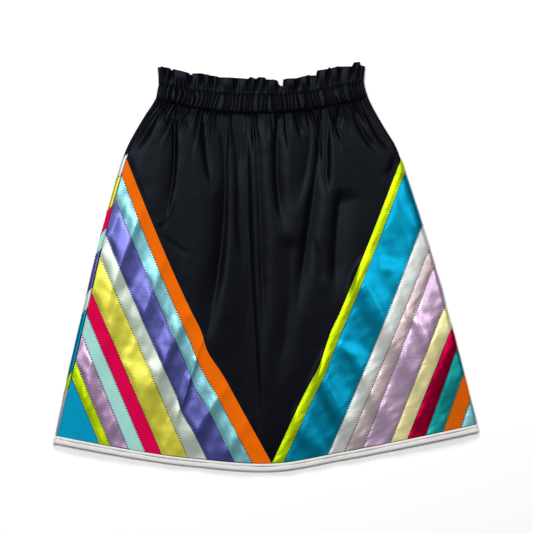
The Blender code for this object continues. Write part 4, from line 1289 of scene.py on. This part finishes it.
class SKIRT_OT_panels(bpy.types.Operator):
    """Add the front and back panels with their gathers and folds"""

    bl_idname = "ribbon_skirt.panels"
    bl_label = "Panels"

    def execute(self, context):
        depth = context.scene.ribbon_skirt_sizes.gathers
        front, back = (
            add_cloth(
                f"{face}_cloth", face, *PANEL_NETS[face], panel_shape(face, depth), "taffeta",
                [f"{face}_panel"],
            )
            for face in (FRONT, BACK)
        )
        declare_sheet(front, *PANEL_CUT, [back])
        declare_sheet(back, *PANEL_CUT, ["floor"])
        return {"FINISHED"}


class SKIRT_OT_pockets(bpy.types.Operator):
    """Dress the two in-seam pocket bags"""

    bl_idname = "ribbon_skirt.pockets"
    bl_label = "Pocket bags"

    def execute(self, context):
        for side in SIDE_NAMES.values():
            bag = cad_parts[f"pocket_bag_{side}"]
            for slot in bag.material_slots:
                slot.material = finish_called("taffeta")
        return {"FINISHED"}


class SKIRT_OT_ribbons(bpy.types.Operator):
    """Add the satin ribbons of both chevrons"""

    bl_idname = "ribbon_skirt.ribbons"
    bl_label = "Ribbons"

    def execute(self, context):
        sizes = context.scene.ribbon_skirt_sizes
        for (face, side), chevron in CHEVRONS.items():
            step, across_step = RIBBON_STEPS[face]
            for number, ribbon in enumerate(chevron.ribbons):
                level = np.array(WIDTH_MEASURED_AT)
                upper, lower = (edge_x(face, side, number + n, level) for n in (-1, 0))
                width = abs(float(lower - upper)) * RIBBON_ACROSS
                top, foot = edge_ends(face, side, number, np.array([0.0]))
                longest = float(top[0] - foot[0]) * LONGEST_ALONG
                weave = WEAVES[ribbon.finish]
                name = f"{face}_{SIDE_NAMES[side]}_ribbon_{number + 1}_{ribbon.name}"
                shape = ribbon_shape(
                    face, side, number, sizes.ribbon * 1000, sizes.pucker * weave.pucker, sizes.gathers
                )
                columns = max(7, round(width / across_step) + 4)
                piece = add_cloth(
                    f"{name}_satin", face, columns, round(longest / step), shape, ribbon.finish, [name]
                )
                cut = (max(width, NARROWEST_CUT) * METRES, max(longest, SHORTEST_CUT) * METRES)
                declare_sheet(piece, *cut, [f"{face}_cloth"])
        return {"FINISHED"}


class SKIRT_OT_stitching(bpy.types.Operator):
    """Sew the ribbons down with dark thread"""

    bl_idname = "ribbon_skirt.stitching"
    bl_label = "Stitching"

    def execute(self, context):
        sizes = context.scene.ribbon_skirt_sizes
        pitch, swing, lift = sizes.stitch * 1000, sizes.swing * 1000, sizes.ribbon * 1000 + 0.40
        for face in (FRONT, BACK):
            runs = []
            for side in (LEFT, RIGHT):
                count = len(CHEVRONS[face, side].ribbons)
                for number in range(count - 1):
                    runs.append(edge_stitches(face, side, number, pitch, swing, lift))
            thread_rods(f"{face}_ribbon_stitching", runs, sizes.thread, "thread")
        return {"FINISHED"}


class SKIRT_OT_binding(bpy.types.Operator):
    """Bind the hem, front and back, and stitch the tape down"""

    bl_idname = "ribbon_skirt.binding"
    bl_label = "Hem binding"

    def execute(self, context):
        sizes = context.scene.ribbon_skirt_sizes
        bulk = sizes.binding * 1000
        for face, width in TAPE_WIDTHS.items():
            piece = add_cloth(
                f"{face}_hem_tape", face, *TAPE_NETS[face], binding_shape(face, width, bulk), "binding",
                [f"{face}_hem_binding"],
            )
            declare_sheet(piece, TAPE_LENGTH, width * TAPE_FOLDED * METRES, [f"{face}_cloth"])
        station = np.linspace(-0.985, 0.985, HEM_STITCHES)
        sewn_y = panel_ends(FRONT, station)[1] - HEM_OVERLAP - TAPE_STITCH
        line = on_tube(FRONT, column_x(FRONT, station, sewn_y), sewn_y, 1.15)
        gap = 0.24 * (line[1:] - line[:-1])
        run = (line[:-1] + gap / 2, line[1:] - gap / 2)
        thread_rods("hem_stitching", [run], sizes.thread, "grey_thread")
        return {"FINISHED"}


class SKIRT_OT_casing(bpy.types.Operator):
    """Gather the elastic casing, front and back"""

    bl_idname = "ribbon_skirt.casing"
    bl_label = "Elastic casing"

    def execute(self, context):
        depth = context.scene.ribbon_skirt_sizes.gathers
        for face, net in CASING_NETS.items():
            piece = add_cloth(
                f"{face}_casing_cloth", face, *net, casing_shape(face, depth), "taffeta",
                [f"{face}_casing"],
            )
            declare_sheet(piece, *CASING_CUT, [f"{face}_cloth"])
        return {"FINISHED"}


class SKIRT_OT_ruffle(bpy.types.Operator):
    """Add the frill above the casing, front and back"""

    bl_idname = "ribbon_skirt.ruffle"
    bl_label = "Ruffle"

    def execute(self, context):
        depth = context.scene.ribbon_skirt_sizes.gathers
        for face, net in FRILL_NETS.items():
            piece = add_cloth(
                f"{face}_frill", face, *net, ruffle_shape(face, depth), "taffeta", [f"{face}_ruffle"]
            )
            declare_sheet(piece, *FRILL_CUT, [f"{face}_casing_cloth"])
        return {"FINISHED"}


# Softboxes over the skirt, in metres and watts
Softbox = namedtuple("Softbox", "name place size power")
SOFTBOXES = (
    Softbox("left softbox", (-0.98, 0.78, 3.0), (1.0, 1.4), 59.0),
    Softbox("right softbox", (0.98, 0.78, 3.0), (1.0, 1.4), 23.5),
    Softbox("top light", (-0.3, 3.6, 2.4), (2.2, 1.2), 118.0),
)
ROOM_LIGHT = 0.17
FLOOR_REACH = 3.0
CAMERA_HEIGHT = 5.0
CAMERA_SENSOR = 36.0
CLOTH_HEIGHT = 0.008
CAMERA_Y = 0.375


def area_light(softbox):
    """A softbox that faces the middle of the skirt."""
    light = bpy.data.lights.new(softbox.name, "AREA")
    light.shape, light.energy = "RECTANGLE", softbox.power
    light.size, light.size_y = softbox.size
    lamp = bpy.data.objects.new(softbox.name, light)
    lamp.location = softbox.place
    lamp.rotation_euler = (-Vector(softbox.place)).to_track_quat("-Z", "Y").to_euler()
    bpy.context.scene.collection.objects.link(lamp)


class SKIRT_OT_stage(bpy.types.Operator):
    """Lay the floor and set the soft light and the camera straight above"""

    bl_idname = "ribbon_skirt.stage"
    bl_label = "Stage"

    def execute(self, context):
        scene = context.scene
        bm = bmesh.new()
        bmesh.ops.create_grid(bm, x_segments=1, y_segments=1, size=FLOOR_REACH)
        mesh = bpy.data.meshes.new("floor")
        bm.to_mesh(mesh)
        bm.free()
        mesh.materials.append(finish_called("floor"))
        floor = bpy.data.objects.new("floor", mesh)
        scene.collection.objects.link(floor)
        for softbox in SOFTBOXES:
            area_light(softbox)
        world = bpy.data.worlds.new("studio")
        world.use_nodes = True
        room = world.node_tree.nodes["Background"].inputs
        room["Color"].default_value = (1, 1, 1, 1)
        room["Strength"].default_value = ROOM_LIGHT
        scene.world = world
        camera = bpy.data.cameras.new("camera")
        camera.sensor_width = CAMERA_SENSOR
        camera.lens = CAMERA_SENSOR * (CAMERA_HEIGHT - CLOTH_HEIGHT) / (IMAGE * PIXEL * METRES)
        eye = bpy.data.objects.new("camera", camera)
        eye.location = (
            ORIGIN_SHIFT[0] * METRES, (ORIGIN_SHIFT[1] + CAMERA_Y) * METRES, CAMERA_HEIGHT
        )
        scene.collection.objects.link(eye)
        scene.camera = eye
        scene.view_settings.view_transform = "Standard"
        return {"FINISHED"}


class SKIRT_PT_sidebar(bpy.types.Panel):
    """The skirt's settings and pieces"""

    bl_idname = "SKIRT_PT_sidebar"
    bl_label = "Ribbon Skirt"
    bl_space_type = "VIEW_3D"
    bl_region_type = "UI"
    bl_category = "Ribbon Skirt"

    def draw(self, context):
        layout = self.layout
        for group in (context.scene.ribbon_skirt_sizes, context.scene.ribbon_skirt_colours):
            column = layout.column(align=True)
            for name in group.__annotations__:
                column.prop(group, name)
        column = layout.column(align=True)
        for operator in OPERATORS:
            column.operator(operator.bl_idname)


GROUPS = (RibbonSkirtColours, RibbonSkirtSizes)
OPERATORS = (
    SKIRT_OT_finishes, SKIRT_OT_panels, SKIRT_OT_pockets, SKIRT_OT_ribbons, SKIRT_OT_stitching,
    SKIRT_OT_binding, SKIRT_OT_casing, SKIRT_OT_ruffle, SKIRT_OT_stage,
)
CLASSES = (*GROUPS, *OPERATORS, SKIRT_PT_sidebar)


def register():
    for cls in CLASSES:
        bpy.utils.register_class(cls)
    bpy.types.Scene.ribbon_skirt_colours = bpy.props.PointerProperty(type=RibbonSkirtColours)
    bpy.types.Scene.ribbon_skirt_sizes = bpy.props.PointerProperty(type=RibbonSkirtSizes)


def unregister():
    del bpy.types.Scene.ribbon_skirt_sizes
    del bpy.types.Scene.ribbon_skirt_colours
    for cls in reversed(CLASSES):
        bpy.utils.unregister_class(cls)


def main():
    register()
    bpy.ops.ribbon_skirt.finishes()
    bpy.ops.ribbon_skirt.panels()
    bpy.ops.ribbon_skirt.pockets()
    bpy.ops.ribbon_skirt.ribbons()
    bpy.ops.ribbon_skirt.stitching()
    bpy.ops.ribbon_skirt.binding()
    bpy.ops.ribbon_skirt.casing()
    bpy.ops.ribbon_skirt.ruffle()
    bpy.ops.ribbon_skirt.stage()


if __name__ == "__main__":
    main()
